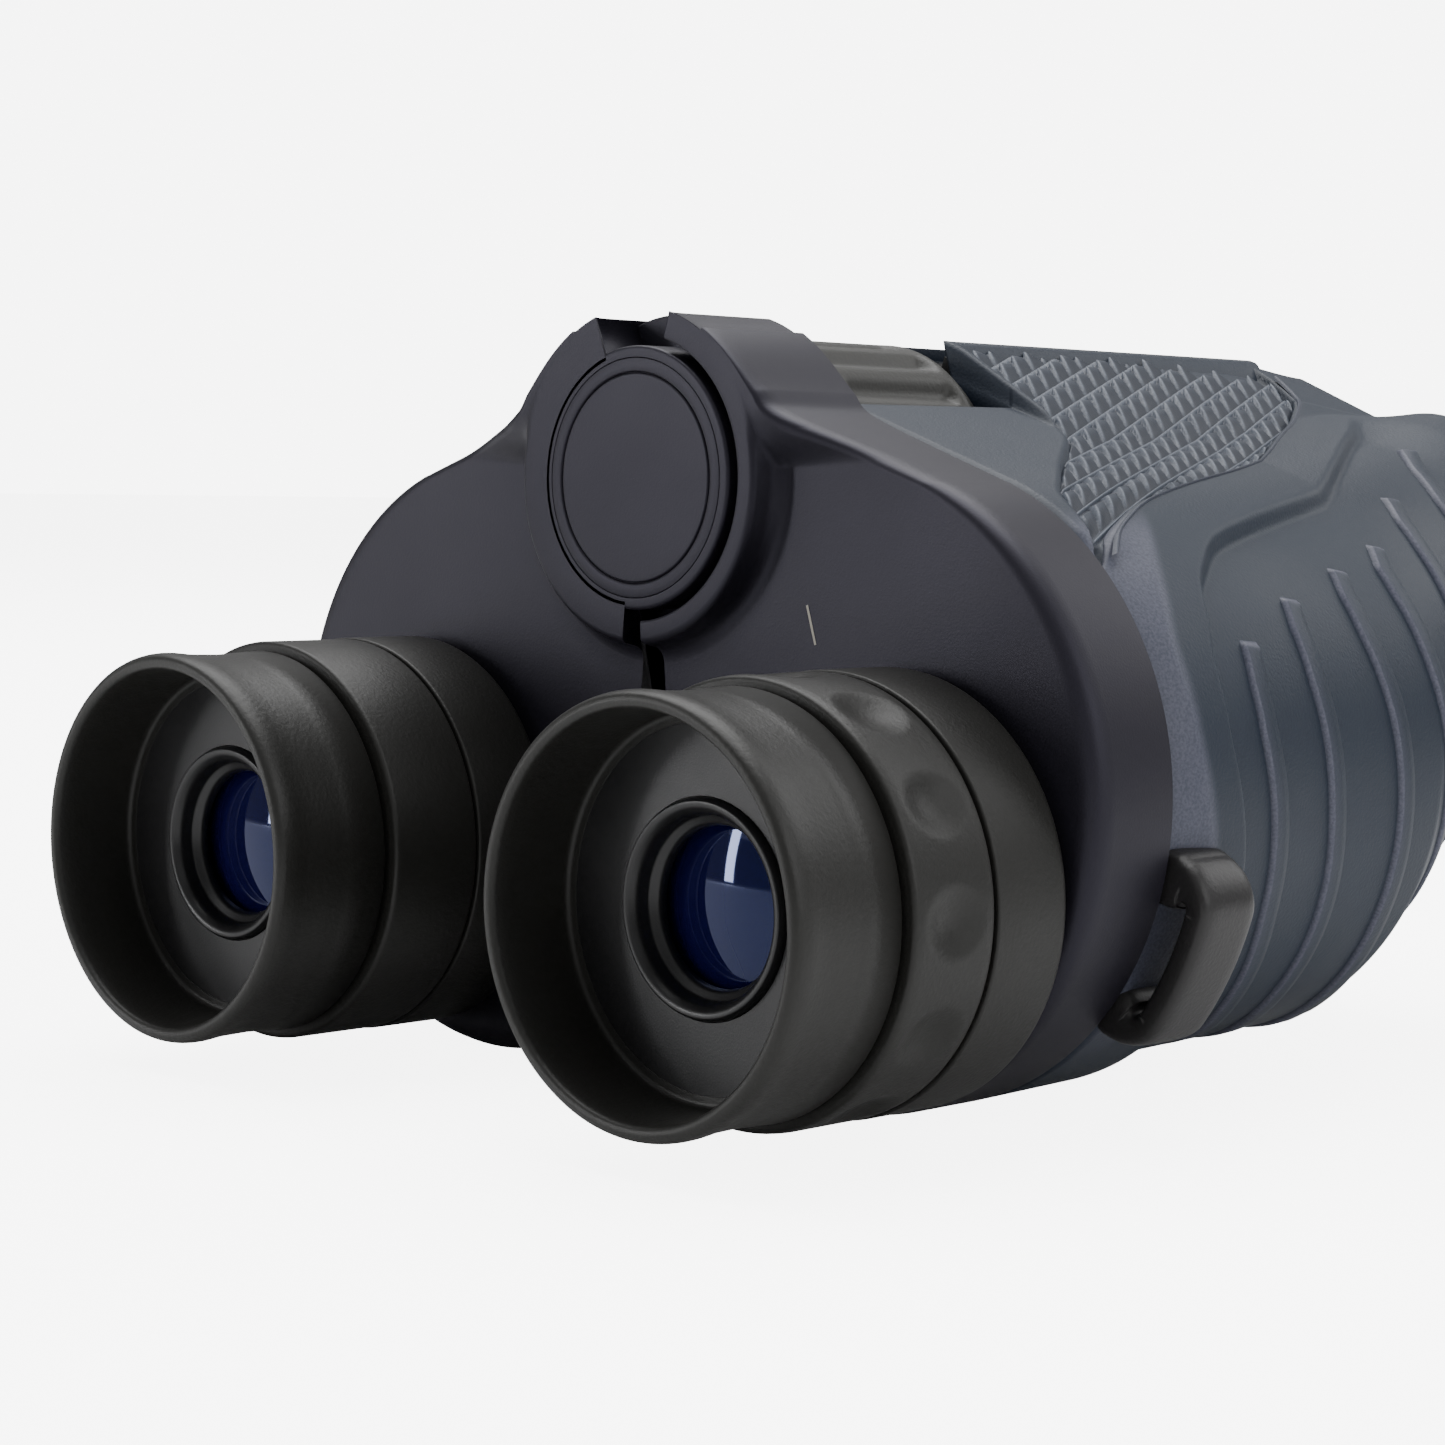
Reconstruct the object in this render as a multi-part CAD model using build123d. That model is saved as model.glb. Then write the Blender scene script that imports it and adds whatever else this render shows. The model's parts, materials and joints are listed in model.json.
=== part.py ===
from build123d import *
from math import atan2, cos, degrees, hypot, radians, sin, sqrt
import os

# Compact centre-focus zoom binoculars of the reverse-Porro kind, folding about one hinge.
# The model is drawn about the hinge axis: X to the right, Y from the eyecup lips (0) forwards
# to the front rims, Z up.  Everything is moved to the base frame as it is written out.

# ---------------------------------------------------------------- driving dimensions (mm)
LENGTH = 120.0              # eyecup lip to front rim
RUN = 0.08                  # radial clearance of a running fit
GAP = 0.4                   # free gap between parts that only pass each other
FIT = 0.1                   # clearance of a part that is set into another

# optical axes of the right half, seen from the hinge axis
IPD = 58.0                  # distance between the eyepiece axes as stored
EYE_DROP = 32.25            # eyepiece axes below the hinge axis
OBJ_X, OBJ_Z = 18.0, -11.0  # objective axis
EYE_X, EYE_Z = IPD / 2, -EYE_DROP

# housing outline: a hull of the hinge circle and one large circle, tapering to the front
SEAM_Y = 40.0               # where the rear cover meets the rubber armour
TAPER_Y = 81.5              # the barrel becomes a cone from here
REAR_CIRCLE = (EYE_X - 7.8, EYE_Z + 7.25, 26.9)    # centre x, centre z, radius at the seam
MID_CIRCLE = (EYE_X - 8.5, EYE_Z + 8.05, 27.1)     # at the start of the taper
FRONT_CIRCLE = (OBJ_X + 0.5, OBJ_Z + 2.0, 17.0)    # at the front rim
SHOULDER_R = 10.4           # hinge circle of the low shoulder beside the focus wheel
SADDLE_R = 13.5             # hinge circle of the raised saddle ahead of the wheel
SADDLE_Y = 62.5             # rear edge of the saddle
SADDLE_TUCK = 2.5           # the saddle's hull ends this far inside the large circle
ARMOUR = 1.5                # rubber thickness
FRONT_ROUND = 1.4           # rounded edge of the rubber at the front
SHELL = 1.5                 # chassis wall
LEAN = 4.6                  # lean of each mating face from the vertical, degrees
RIGHT_TOP, LEFT_TOP = 74.0, 109.5      # top edges of the halves, degrees from +X

# hinge
COVER_Y, COVER_T = 30.5, 2.0           # rear face and thickness of the cover plate
COVER_ROUND = 2.2           # rounded edge of the cover
HUB_Y, HUB_BACK = 27.8, 32.2           # hinge hub
HUB_R, ARM_IN, ARM_OUT = 11.2, 12.1, 14.0
NOTCH = 3.3                 # half angle of the notch under the hub, degrees
CAP_R, CAP_T = 10.1, 1.8
KNUCKLE_Y0, KNUCKLE_Y1 = HUB_BACK + GAP, SEAM_Y + 0.2
KNUCKLE_WALL = 2.0
WASHER_R = 7.0
AXLE_R, AXLE_END = 2.5, LENGTH - 3.0
WHEEL_R, WHEEL_Y0, WHEEL_Y1 = 12.5, SEAM_Y + 1.0, SADDLE_Y - 0.7
WHEEL_GROOVES, GROOVE_R = 18, 1.45
TUNNEL_R = WHEEL_R + 0.7
CHANNEL_R = 6.4             # clear channel round the focus sleeve
SLEEVE_R = 3.8
SPOOL_Y, SPOOL_R, SPOOL_W = LENGTH - 20.0, 5.2, 2.0
FOCUS_TRAVEL = 2.0
LUG_LEFT = (LENGTH - 13.8, LENGTH - 10.2)      # front hinge lugs, one ahead of the other
LUG_RIGHT = (LENGTH - 9.8, LENGTH - 6.2)
BRIDGE_R, BRIDGE_T = 9.0, 1.2
BRIDGE_END = LUG_LEFT[0] - 0.6
BRIDGE_FOOT, BRIDGE_REACH = 4.0, 38.0          # angles of the foot past the left top edge

# eyepiece
CUP_R, CUP_WALL, CUP_DEPTH, CUP_Y1 = 16.85, 1.45, 7.7, 13.5
FLANGE_R, FLANGE_T = 14.1, 3.6          # flange of the ocular barrel inside the eyecup
BEZEL_R, BEZEL_BACK = 8.5, 2.8
RING_R, RING_A_Y, RING_B_Y = 17.5, (11.7, 20.7), (20.95, 29.3)
RING_BORE = 15.4
BARREL_R, BARREL_IN, BARREL_END = 9.6, 8.0, 23.8
GUIDE_T, CAM_T = 1.3, 1.1
GUIDE_Y, GUIDE_FLANGE = (14.0, 44.2), 12.0
CAM_Y = (21.6, 42.2)
DIMPLES, DIMPLE_R, DIMPLE_OUT = 12, 5.9, 5.2
DIOPTRE_TRAVEL = 0.5
ZOOM_TURN = 60.0            # turn of the zoom ring, degrees
ZOOM_CELL_W, ZOOM_TRAVEL, PIN_R = 4.0, 3.0, 0.8
ZOOM_REAR = BARREL_END + DIOPTRE_TRAVEL + 0.5 + ZOOM_CELL_W / 2 + ZOOM_TRAVEL
ZOOM_CELLS = {"rear": (ZOOM_REAR, -ZOOM_TRAVEL), "front": (36.0, ZOOM_TRAVEL)}  # middle, travel
ZOOM_BORE = 7.6
LEVER_ANGLE, LEVER_HALF, LEVER_REACH = 180.0, 7.0, 4.6      # it points inwards at low power

# objective
OBJ_LENS_R, OBJ_LENS_T, OBJ_CLEAR_R = 12.5, 5.0, 11.4
CELL_R, CELL_Y = OBJ_LENS_R + 0.8, (LENGTH - 24.0, LENGTH - 10.0)
OBJ_LENS_Y = CELL_Y[1] - 2.2             # front face of the objective lens
HOOD_R, HOOD_Y = CELL_R + 0.6, LENGTH - 5.5
TUBE_WALL = 1.2
ARM_W, ARM_T = 4.0, 3.0

# prisms
PRISM_W, PRISM_BEAM = 12.4, 5.4
RIDGE, EDGE_FLAT = 1.0, 0.8             # flats on the prism's ridge and acute edges
PLATE_Y, PLATE_T = 60.0, 2.0
BULKHEAD_Y = GUIDE_Y[1]
CLIP_T, CLIP_W = 0.6, 3.2
BOSS_R, SCREW_R, SCREW_LENGTH = 2.1, 0.95, 6.0

# strap lug on the outer lower side
LUG_Y, LUG_ANGLES = (40.5, 47.5), (-9.0, -43.0)
LUG_POST, LUG_STAND, LUG_BAR = 5.0, 2.0, 2.2
LUG_SEAT = 0.2              # clearance under its feet on the chassis


# ---------------------------------------------------------------- small tools
def put(shape, x, z):
    """Move a shape drawn about the Y axis to an optical axis."""
    return Pos(x, 0, z) * shape


def lathe(points):
    """Turn a closed (radius, y) outline about the Y axis."""
    return revolve(make_face(Polyline(*points, close=True)), Axis.Y)


def ring(outer, inner, y0, y1):
    """Plain tube along Y; a disc where inner is 0."""
    return lathe([(inner, y0), (outer, y0), (outer, y1), (inner, y1)])


def plane_at(y):
    """Drawing plane across the Y axis, local x = X and local y = Z."""
    return Plane(origin=(0, y, 0), x_dir=(1, 0, 0), z_dir=(0, -1, 0))


def polar(radius, angle):
    return radius * cos(radians(angle)), radius * sin(radians(angle))


def wedge(y0, y1, angle0, angle1, radius=90.0, apex=(0.0, 0.0)):
    """Solid sector about a line along Y, from angle0 round to angle1."""
    steps = max(2, int((angle1 - angle0) / 30) + 1)
    far = radius / cos(radians((angle1 - angle0) / steps / 2))
    corners = [apex]
    for i in range(steps + 1):
        x, z = polar(far, angle0 + (angle1 - angle0) * i / steps)
        corners.append((apex[0] + x, apex[1] + z))
    face = plane_at(y0) * make_face(Polyline(*corners, close=True))
    return extrude(face, -(y1 - y0))


def radial_pin(radius, r0, r1, y, angle):
    """Round pin pointing out from the Y axis."""
    x, z = polar(1.0, angle)
    start = (x * r0, y, z * r0)
    return Plane(origin=start, z_dir=(x, 0, z)) * Cylinder(
        radius, r1 - r0, align=(Align.CENTER, Align.CENTER, Align.MIN))


# ---------------------------------------------------------------- housing outline
def circle_at(y):
    """Centre and radius of the large circle at depth y."""
    if y <= TAPER_Y:
        share, a, b = (y - SEAM_Y) / (TAPER_Y - SEAM_Y), REAR_CIRCLE, MID_CIRCLE
    else:
        share, a, b = (y - TAPER_Y) / (LENGTH - TAPER_Y), MID_CIRCLE, FRONT_CIRCLE
    return tuple(p + (q - p) * share for p, q in zip(a, b))


def hull_face(y, hinge_r, inset, tuck=0.0):
    """Outline round the hinge circle and the large circle, drawn inwards by inset."""
    x, z, big = circle_at(y)
    small, big = hinge_r - inset, big - inset - tuck
    length = hypot(x, z)
    ux, uz = x / length, z / length
    slope = (small - big) / length
    rise = sqrt(1 - slope * slope)
    sides = []
    for side in (1, -1):
        nx = ux * slope - side * uz * rise
        nz = uz * slope + side * ux * rise
        sides.append(((small * nx, small * nz), (x + big * nx, z + big * nz)))
    (a, b), (d, c) = sides
    outer = ThreePointArc(b, (x + big * ux, z + big * uz), c)
    inner = ThreePointArc(d, (-small * ux, -small * uz), a)
    return plane_at(y) * make_face(Line(a, b) + outer + Line(c, d) + inner)


def housing(y0, y1, hinge_r, inset=0.0, front_round=0.0, tuck=0.0):
    """Housing volume between two depths: straight to the taper, then a cone."""
    stations = [y0] + [y for y in (TAPER_Y,) if y0 < y < y1 - front_round] + [y1 - front_round]
    faces = [hull_face(y, hinge_r, inset, tuck) for y in stations]
    if front_round:
        faces.append(hull_face(y1, hinge_r, inset + front_round * 0.8, tuck))
    return loft(faces, ruled=True)


def body(inset, y0, y1, front_round=0.0):
    """Low shoulder plus raised saddle, as one volume."""
    low = housing(y0, y1, SHOULDER_R, inset, front_round)
    high = housing(SADDLE_Y + inset, y1, SADDLE_R, inset, front_round, SADDLE_TUCK)
    return low + high


def half_space(top, y0, y1, wall=0.0):
    """The sector that one half may fill, drawn inwards by a wall."""
    low = -90.0 + LEAN
    middle = (low + top) / 2
    back = wall / sin(radians((top - low) / 2))
    return wedge(y0, y1, low, top, apex=polar(back, middle))


def tunnel(extra=0.0):
    """Room for the knuckle and the focus wheel, and the narrow channel ahead of them."""
    wide = ring(TUNNEL_R + extra, 0, COVER_Y, SADDLE_Y + extra)
    wide = wide + ring(ARM_OUT + 0.3 + extra, 0, COVER_Y, KNUCKLE_Y1 + GAP + extra)
    narrow = ring(CHANNEL_R + extra, 0, SADDLE_Y - 1, LENGTH + 1)
    return wide + narrow


# ---------------------------------------------------------------- parts of one half
def bridge_recess(top, extra=0.0):
    """Room under the top edge for the curved bridge between the halves."""
    reach = BRIDGE_R + 0.3 + extra
    sector = wedge(SADDLE_Y, BRIDGE_END, top - 49, top + BRIDGE_REACH + 2, reach)
    return sector & ring(reach, 0, SADDLE_Y, BRIDGE_END)


def body_shell(top, lug, axle_bore):
    """Chassis: closed walls, bulkhead, objective tube and front hinge lug."""
    front = LENGTH - ARMOUR
    wall = ARMOUR + SHELL
    solid = body(ARMOUR, SEAM_Y - 2.5, front) & half_space(top, 0, LENGTH)
    rim = housing(SEAM_Y - 3.5, SEAM_Y, SHOULDER_R)
    rim = rim - housing(SEAM_Y - 3.5, SEAM_Y, SHOULDER_R, COVER_T + FIT)
    solid = solid - rim - tunnel() - bridge_recess(top)
    sector = half_space(top, 0, LENGTH, SHELL)
    room = body(wall, BULKHEAD_Y + SHELL, front - SHELL) & sector
    room = room - tunnel(SHELL) - bridge_recess(top, SHELL)
    rear = housing(SEAM_Y - 5, BULKHEAD_Y, SHOULDER_R, wall) & sector
    rear = rear - tunnel(SHELL)
    shell = solid - room - rear
    tube = put(ring(CELL_R + TUBE_WALL, 0, CELL_Y[0] - 4, front), OBJ_X, OBJ_Z) & solid
    shell = shell + tube
    shell = shell - put(ring(CELL_R + RUN, 0, CELL_Y[0] - 5, HOOD_Y), OBJ_X, OBJ_Z)
    shell = shell - put(ring(HOOD_R, 0, HOOD_Y, LENGTH), OBJ_X, OBJ_Z)
    shell = shell - put(ring(BARREL_R - 0.4, 0, BULKHEAD_Y - 1, BULKHEAD_Y + 3), EYE_X, EYE_Z)
    shell = shell - focus_arm(0.3, FOCUS_TRAVEL + 0.3)
    for x, z in screw_places():
        boss = put(ring(BOSS_R, 0, BULKHEAD_Y, PLATE_Y), x, z)
        shell = shell + boss - put(ring(SCREW_R, 0, PLATE_Y - SCREW_LENGTH - 1, PLATE_Y + 1), x, z)
    web = ring(CHANNEL_R + SHELL, 0, *lug) & half_space(top, 0, LENGTH)
    eye = ring(CHANNEL_R - 0.3, 0, *lug) + web
    eye = eye - ring(axle_bore, 0, lug[0] - 1, lug[1] + 1)
    return shell + (eye - put(ring(CELL_R + RUN, 0, lug[0] - 1, HOOD_Y), OBJ_X, OBJ_Z))


def armour(top, lug_solid):
    """Rubber skin over the chassis, closed round the front rim."""
    skin = body(0, SEAM_Y, LENGTH, FRONT_ROUND) - body(ARMOUR, SEAM_Y - 2, LENGTH - ARMOUR)
    skin = skin & half_space(top, 0, LENGTH + 1)
    skin = skin - tunnel() - bridge_recess(top)
    return skin - put(ring(HOOD_R, 0, HOOD_Y, LENGTH + 1), OBJ_X, OBJ_Z) - lug_solid


def rear_cover(top, with_hub):
    """Black end cover: plate, side wall, hinge arm and hub or knuckle."""
    blank = extrude(hull_face(COVER_Y, SHOULDER_R, 0), -(SEAM_Y - COVER_Y))
    edges = blank.faces().sort_by(Axis.Y)[0].edges()
    blank = fillet(edges, COVER_ROUND)
    plate = blank - housing(COVER_Y + COVER_T, SEAM_Y + 1, SHOULDER_R, COVER_T)
    shoulder = ring(ARM_OUT + GAP, 0, COVER_Y, SEAM_Y - 0.05) & wedge(0, LENGTH, 28, top)
    plate = (plate + shoulder) & half_space(top, 0, LENGTH)
    eyepiece_hole = BARREL_R + GUIDE_T + CAM_T + RUN + GAP
    plate = plate - put(ring(eyepiece_hole, 0, COVER_Y - 1, SEAM_Y + 1), EYE_X, EYE_Z)
    arm_wedge = wedge(HUB_Y - 1, LENGTH, -90 + NOTCH, top)
    if with_hub:
        plate = plate - ring(ARM_OUT + 0.3, 0, HUB_BACK, SEAM_Y + 1)
        hub = ring(HUB_R, 0, HUB_Y, HUB_BACK) + (ring(ARM_OUT, 0, HUB_Y, HUB_BACK) & arm_wedge)
        hub = hub - ring(CAP_R + FIT, 0, HUB_Y - 1, HUB_Y + CAP_T)
        return plate + hub - ring(AXLE_R, 0, HUB_Y - 1, SEAM_Y + 1)
    plate = plate - ring(ARM_IN, 0, COVER_Y - 1, SEAM_Y + 1)
    arm = ring(ARM_OUT, ARM_IN, HUB_Y, KNUCKLE_Y0 + 1) & arm_wedge
    outside = ring(ARM_OUT, 0, KNUCKLE_Y0, KNUCKLE_Y1)
    hollow = ring(ARM_OUT - KNUCKLE_WALL, WASHER_R - 1, KNUCKLE_Y0 + 3, KNUCKLE_Y1 + 1)
    knuckle = outside - hollow
    return plate + arm + knuckle - ring(AXLE_R + RUN, 0, HUB_Y, SEAM_Y + 1)


def strap_lug():
    """Moulded loop: a curved bar on two posts, rooted in the chassis."""
    x, z, big = circle_at(sum(LUG_Y) / 2)
    inner = big + LUG_STAND
    outer = inner + LUG_BAR
    a0, a1 = LUG_ANGLES[1], LUG_ANGLES[0]
    bar = ring(outer, inner, *LUG_Y) & wedge(*LUG_Y, a0, a1, outer + 1)
    post = degrees(LUG_POST / inner)
    legs = ring(inner + 0.5, big - ARMOUR + LUG_SEAT, *LUG_Y)
    ends = wedge(*LUG_Y, a0, a0 + post, outer + 1) + wedge(*LUG_Y, a1 - post, a1, outer + 1)
    return put(bar + (legs & ends), x, z)


def eyecup():
    """Soft rubber cup with a rolled lip, open at the floor, gripping the ocular flange."""
    wall = CUP_R - CUP_WALL
    base = RING_A_Y[0] - DIOPTRE_TRAVEL - 0.15
    spigot = RING_BORE - RUN
    return lathe([
        (CUP_R - 0.9, 0), (CUP_R - 0.2, 0.35), (CUP_R, 1.0), (CUP_R - 0.3, 3.2), (CUP_R - 0.42, 7.0),
        (CUP_R - 0.2, base), (spigot, base), (spigot, CUP_Y1), (FLANGE_R + FIT, CUP_Y1),
        (FLANGE_R + FIT, CUP_DEPTH), (wall - 0.4, CUP_DEPTH), (wall, CUP_DEPTH - 0.5),
        (wall - 0.27, 1.1), (CUP_R - 1.5, 0.25)])


def lens_bezel():
    """Threaded ring that holds the eye lens."""
    y = CUP_DEPTH - 0.7
    back = y + BEZEL_BACK
    return lathe([
        (BEZEL_R, y), (BEZEL_R, back), (BEZEL_R - 2.3, back), (BEZEL_R - 2.2, back - 0.6),
        (BEZEL_R - 1.5, y + 1.6), (BEZEL_R - 1.2, y + 0.5), (BEZEL_R - 0.7, y)])


def ocular_barrel():
    """Metal barrel of the eyepiece; its flange is the flat floor of the eyecup."""
    y, back = CUP_DEPTH, CUP_DEPTH + FLANGE_T
    seat = CUP_DEPTH - 0.7 + BEZEL_BACK
    return lathe([
        (BARREL_IN, seat), (BARREL_IN, BARREL_END), (BARREL_R, BARREL_END), (BARREL_R, back),
        (FLANGE_R, back), (FLANGE_R, y), (BEZEL_R + 0.05, y), (BEZEL_R + 0.05, seat)])


def lens(radius, y0, y1, bulge0, bulge1, land=1.8):
    """Round lens with spherical faces inside a flat land; the bulges are heights at the axis."""
    clear = radius - land

    def half_way(bulge):
        curve = (clear * clear + bulge * bulge) / (2 * bulge)
        return bulge - curve + sqrt(curve * curve - clear * clear / 4)
    front = ThreePointArc((clear, y1), (clear / 2, y1 + half_way(bulge1)), (0, y1 + bulge1))
    rear = ThreePointArc((0, y0 - bulge0), (clear / 2, y0 - half_way(bulge0)), (clear, y0))
    rim = Polyline((clear, y0), (radius, y0), (radius, y1), (clear, y1))
    line = Line((0, y1 + bulge1), (0, y0 - bulge0))
    return revolve(make_face(rim + front + line + rear), Axis.Y)


def eyepiece_ring(dimpled):
    """Ring A: fixed on the left half, the dimpled dioptre ring on the right half."""
    y0, y1 = RING_A_Y
    bore = BARREL_R + RUN + GUIDE_T + (RUN if dimpled else 0)
    band = lathe([
        (RING_R - 0.6, y0), (RING_R, y0 + 0.5), (RING_R, y1 - 0.3), (RING_R - 0.3, y1),
        (bore, y1), (bore, y1 - 4), (RING_BORE, y1 - 5), (RING_BORE, y0)])
    if dimpled:
        for i in range(DIMPLES):
            x, z = polar(RING_R + DIMPLE_OUT, 360 * (i + 0.5) / DIMPLES)
            band = band - Pos(x, (y0 + y1) / 2, z) * Sphere(DIMPLE_R)
    return band


def zoom_ring():
    """Ring B: turns the cam tube; the lever stands on the right one."""
    y0, y1 = RING_B_Y
    bore = BARREL_R + RUN + GUIDE_T + RUN + CAM_T
    return lathe([
        (bore, y0 + 0.7), (RING_R - 0.5, y0), (RING_R + 0.1, y0 + 0.5), (RING_R + 0.1, y1 - 0.5),
        (RING_R - 0.5, y1), (RING_R - 2, y1), (RING_R - 2, y0 + 3), (bore, y0 + 3)])


def zoom_lever():
    """Finger lever that stands on the right zoom ring."""
    y0, y1 = RING_B_Y[0] + 1.5, RING_B_Y[1] - 1.2
    outer = RING_R + LEVER_REACH
    blade = wedge(y0, y1, LEVER_ANGLE - LEVER_HALF, LEVER_ANGLE + LEVER_HALF, outer + 1)
    return blade & ring(outer, RING_R + 0.1, y0, y1)


def guide_tube():
    """Fixed tube with straight slots for the pins of the zoom cells."""
    inner = BARREL_R + RUN
    tube = ring(inner + GUIDE_T, inner, *GUIDE_Y)
    tube = tube + ring(GUIDE_FLANGE, inner, GUIDE_Y[1] - 1.5, GUIDE_Y[1])
    for middle, travel in ZOOM_CELLS.values():
        low, high = sorted((middle, middle + travel))
        for end in (low, high):
            tube = tube - radial_pin(PIN_R + 0.15, inner - 1, inner + GUIDE_T + 1, end, 90)
        width = 2 * PIN_R + 0.3
        slot = Box(width, high - low, GUIDE_T + 2)
        tube = tube - Pos(0, (low + high) / 2, inner + GUIDE_T / 2) * slot
    return tube


def cam_tube():
    """Turning tube with a helical slot for each zoom cell."""
    inner = BARREL_R + RUN + GUIDE_T + RUN
    tube = ring(inner + CAM_T, inner, *CAM_Y)
    for middle, travel in ZOOM_CELLS.values():
        steps = 16
        for i in range(-1, steps + 2):
            share = i / steps
            y, angle = middle + travel * share, 90 - ZOOM_TURN * share
            tube = tube - radial_pin(PIN_R + 0.25, inner - 1, inner + CAM_T + 1, y, angle)
    return tube


def zoom_cell(middle):
    """Sliding lens cell with one guide pin."""
    cell = ring(BARREL_R, ZOOM_BORE, middle - ZOOM_CELL_W / 2, middle + ZOOM_CELL_W / 2)
    reach = BARREL_R + RUN + GUIDE_T + RUN + CAM_T - 0.1
    return cell + radial_pin(PIN_R, BARREL_R - 1.5, reach, middle, 90)


def light_path():
    """Beam offsets of the two prisms: d1 then d2, at right angles and equally long."""
    vx, vz = EYE_X - OBJ_X, EYE_Z - OBJ_Z
    d1 = ((vx - vz) / 2, (vz + vx) / 2)
    d2 = (vx - d1[0], vz - d1[1])
    return d1, d2


def prism(centre, along, y_face, direction):
    """Right-angle prism; its wide face is at y_face and its ridge points along direction."""
    half = hypot(*along) / 2 + PRISM_BEAM
    y_edge = y_face + direction * EDGE_FLAT
    y_top = y_face + direction * (half - RIDGE)
    ridge = RIDGE + EDGE_FLAT
    outline = [(-half, y_face), (half, y_face), (half, y_edge), (ridge, y_top), (-ridge, y_top),
               (-half, y_edge)]
    block = extrude(make_face(Polyline(*outline, close=True)), PRISM_W / 2, both=True)
    turn = degrees(atan2(along[1], along[0]))
    return Pos(centre[0], 0, centre[1]) * Rot(0, -turn, 0) * block


def prism_places():
    d1, d2 = light_path()
    first = (OBJ_X + d1[0] / 2, OBJ_Z + d1[1] / 2)
    second = (OBJ_X + d1[0] + d2[0] / 2, OBJ_Z + d1[1] + d2[1] / 2)
    return (first, d1, PLATE_Y, -1), (second, d2, PLATE_Y + PLATE_T, 1)


def prism_clip(centre, along, y_face, direction):
    """Sprung strap over the ridge of a prism."""
    height = hypot(*along) / 2 + PRISM_BEAM - RIDGE
    inner, outer = PRISM_W / 2, PRISM_W / 2 + CLIP_T
    near, under, over = [y_face + direction * rise for rise in (0, height, height + CLIP_T)]
    outline = Polyline((near, outer), (over, outer), (over, -outer), (near, -outer),
                       (near, -inner), (under, -inner), (under, inner), (near, inner), close=True)
    strap = extrude(Plane.YZ * make_face(outline), CLIP_W / 2, both=True)
    turn = degrees(atan2(along[1], along[0]))
    return Pos(centre[0], 0, centre[1]) * Rot(0, -turn, 0) * strap


def screw_places():
    """Two bosses for the prism plate, clear of both prisms and of the light."""
    return (EYE_X - 20.0, EYE_Z + 5.25), (EYE_X - 12.0, EYE_Z - 9.25)


def prism_plate(top):
    """Plate between the prisms, with a hole where the light passes."""
    face = hull_face(PLATE_Y, SHOULDER_R, ARMOUR + SHELL + FIT)
    plate = extrude(face, -PLATE_T) & half_space(top, 0, LENGTH, SHELL + FIT)
    plate = plate - tunnel(SHELL + FIT)
    d1, d2 = light_path()
    spots = (OBJ_X, OBJ_Z), (OBJ_X + d1[0], OBJ_Z + d1[1]), (EYE_X, EYE_Z)
    for x, z in spots:
        plate = plate - put(ring(PRISM_BEAM, 0, PLATE_Y - 1, PLATE_Y + PLATE_T + 1), x, z)
    for x, z in screw_places():
        plate = plate - put(ring(SCREW_R + 0.15, 0, PLATE_Y - 1, PLATE_Y + PLATE_T + 1), x, z)
    return plate


def prism_screws():
    """Two pan-head screws that hold the prism plate on its bosses."""
    y, tip = PLATE_Y + PLATE_T, PLATE_Y - SCREW_LENGTH
    screw = lathe([(0, y + 0.5), (0.5, y + 0.5), (0.5, y + 1.2), (2 * SCREW_R, y + 1.2), (2 * SCREW_R, y),
                   (SCREW_R, y), (SCREW_R, tip), (0, tip - 0.8)])
    return Compound(children=[put(screw, x, z) for x, z in screw_places()])


def focus_arm(grow=0.0, travel=0.0):
    """Bar from the objective cell to the groove of the focus spool."""
    length = hypot(OBJ_X, OBJ_Z)
    turn = degrees(atan2(OBJ_Z, OBJ_X))
    bar = Box(length - SLEEVE_R, ARM_T + 2 * (grow + travel), ARM_W + 2 * grow,
              align=(Align.MIN, Align.CENTER, Align.CENTER))
    bar = Rot(0, -turn, 0) * Pos(SLEEVE_R, SPOOL_Y, 0) * bar
    return bar - ring(SLEEVE_R + RUN, 0, SPOOL_Y - 10, SPOOL_Y + 10)


def objective_cell():
    """Lens cell that slides in the chassis, with the arm that the spool moves."""
    y0, y1 = CELL_Y
    seat, y = OBJ_LENS_R + 0.05, OBJ_LENS_Y - OBJ_LENS_T
    tube = lathe([(CELL_R, y0), (CELL_R, y1), (seat, y1), (seat, y), (OBJ_CLEAR_R, y), (OBJ_CLEAR_R, y0)])
    hollow = put(ring(OBJ_CLEAR_R, 0, y0 - 1, y1 + 1), OBJ_X, OBJ_Z)
    return put(tube, OBJ_X, OBJ_Z) + (focus_arm() - hollow)


# ---------------------------------------------------------------- parts on the hinge axis
def hinge_cap():
    """Disc pressed into the hub over the end of the axle."""
    y, back = HUB_Y - FIT, HUB_Y + CAP_T
    return lathe([(0, y), (CAP_R - 0.5, y), (CAP_R, y + 0.5), (CAP_R, back), (0, back)])


def focus_wheel():
    """Rubber-covered wheel with rounded ends and long scalloped grooves."""
    y0, y1 = WHEEL_Y0, WHEEL_Y1
    wheel = lathe([
        (WHEEL_R - 1.6, y0), (WHEEL_R - 0.5, y0 + 0.5), (WHEEL_R, y0 + 1.8), (WHEEL_R, y1 - 1.8),
        (WHEEL_R - 0.5, y1 - 0.5), (WHEEL_R - 1.6, y1), (SLEEVE_R + RUN, y1), (SLEEVE_R + RUN, y0)])
    for i in range(WHEEL_GROOVES):
        x, z = polar(WHEEL_R + 0.9, 360 * i / WHEEL_GROOVES)
        wheel = wheel - put(ring(GROOVE_R, 0, y0 + 3.2, y1 - 3.2), x, z)
    return wheel


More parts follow.
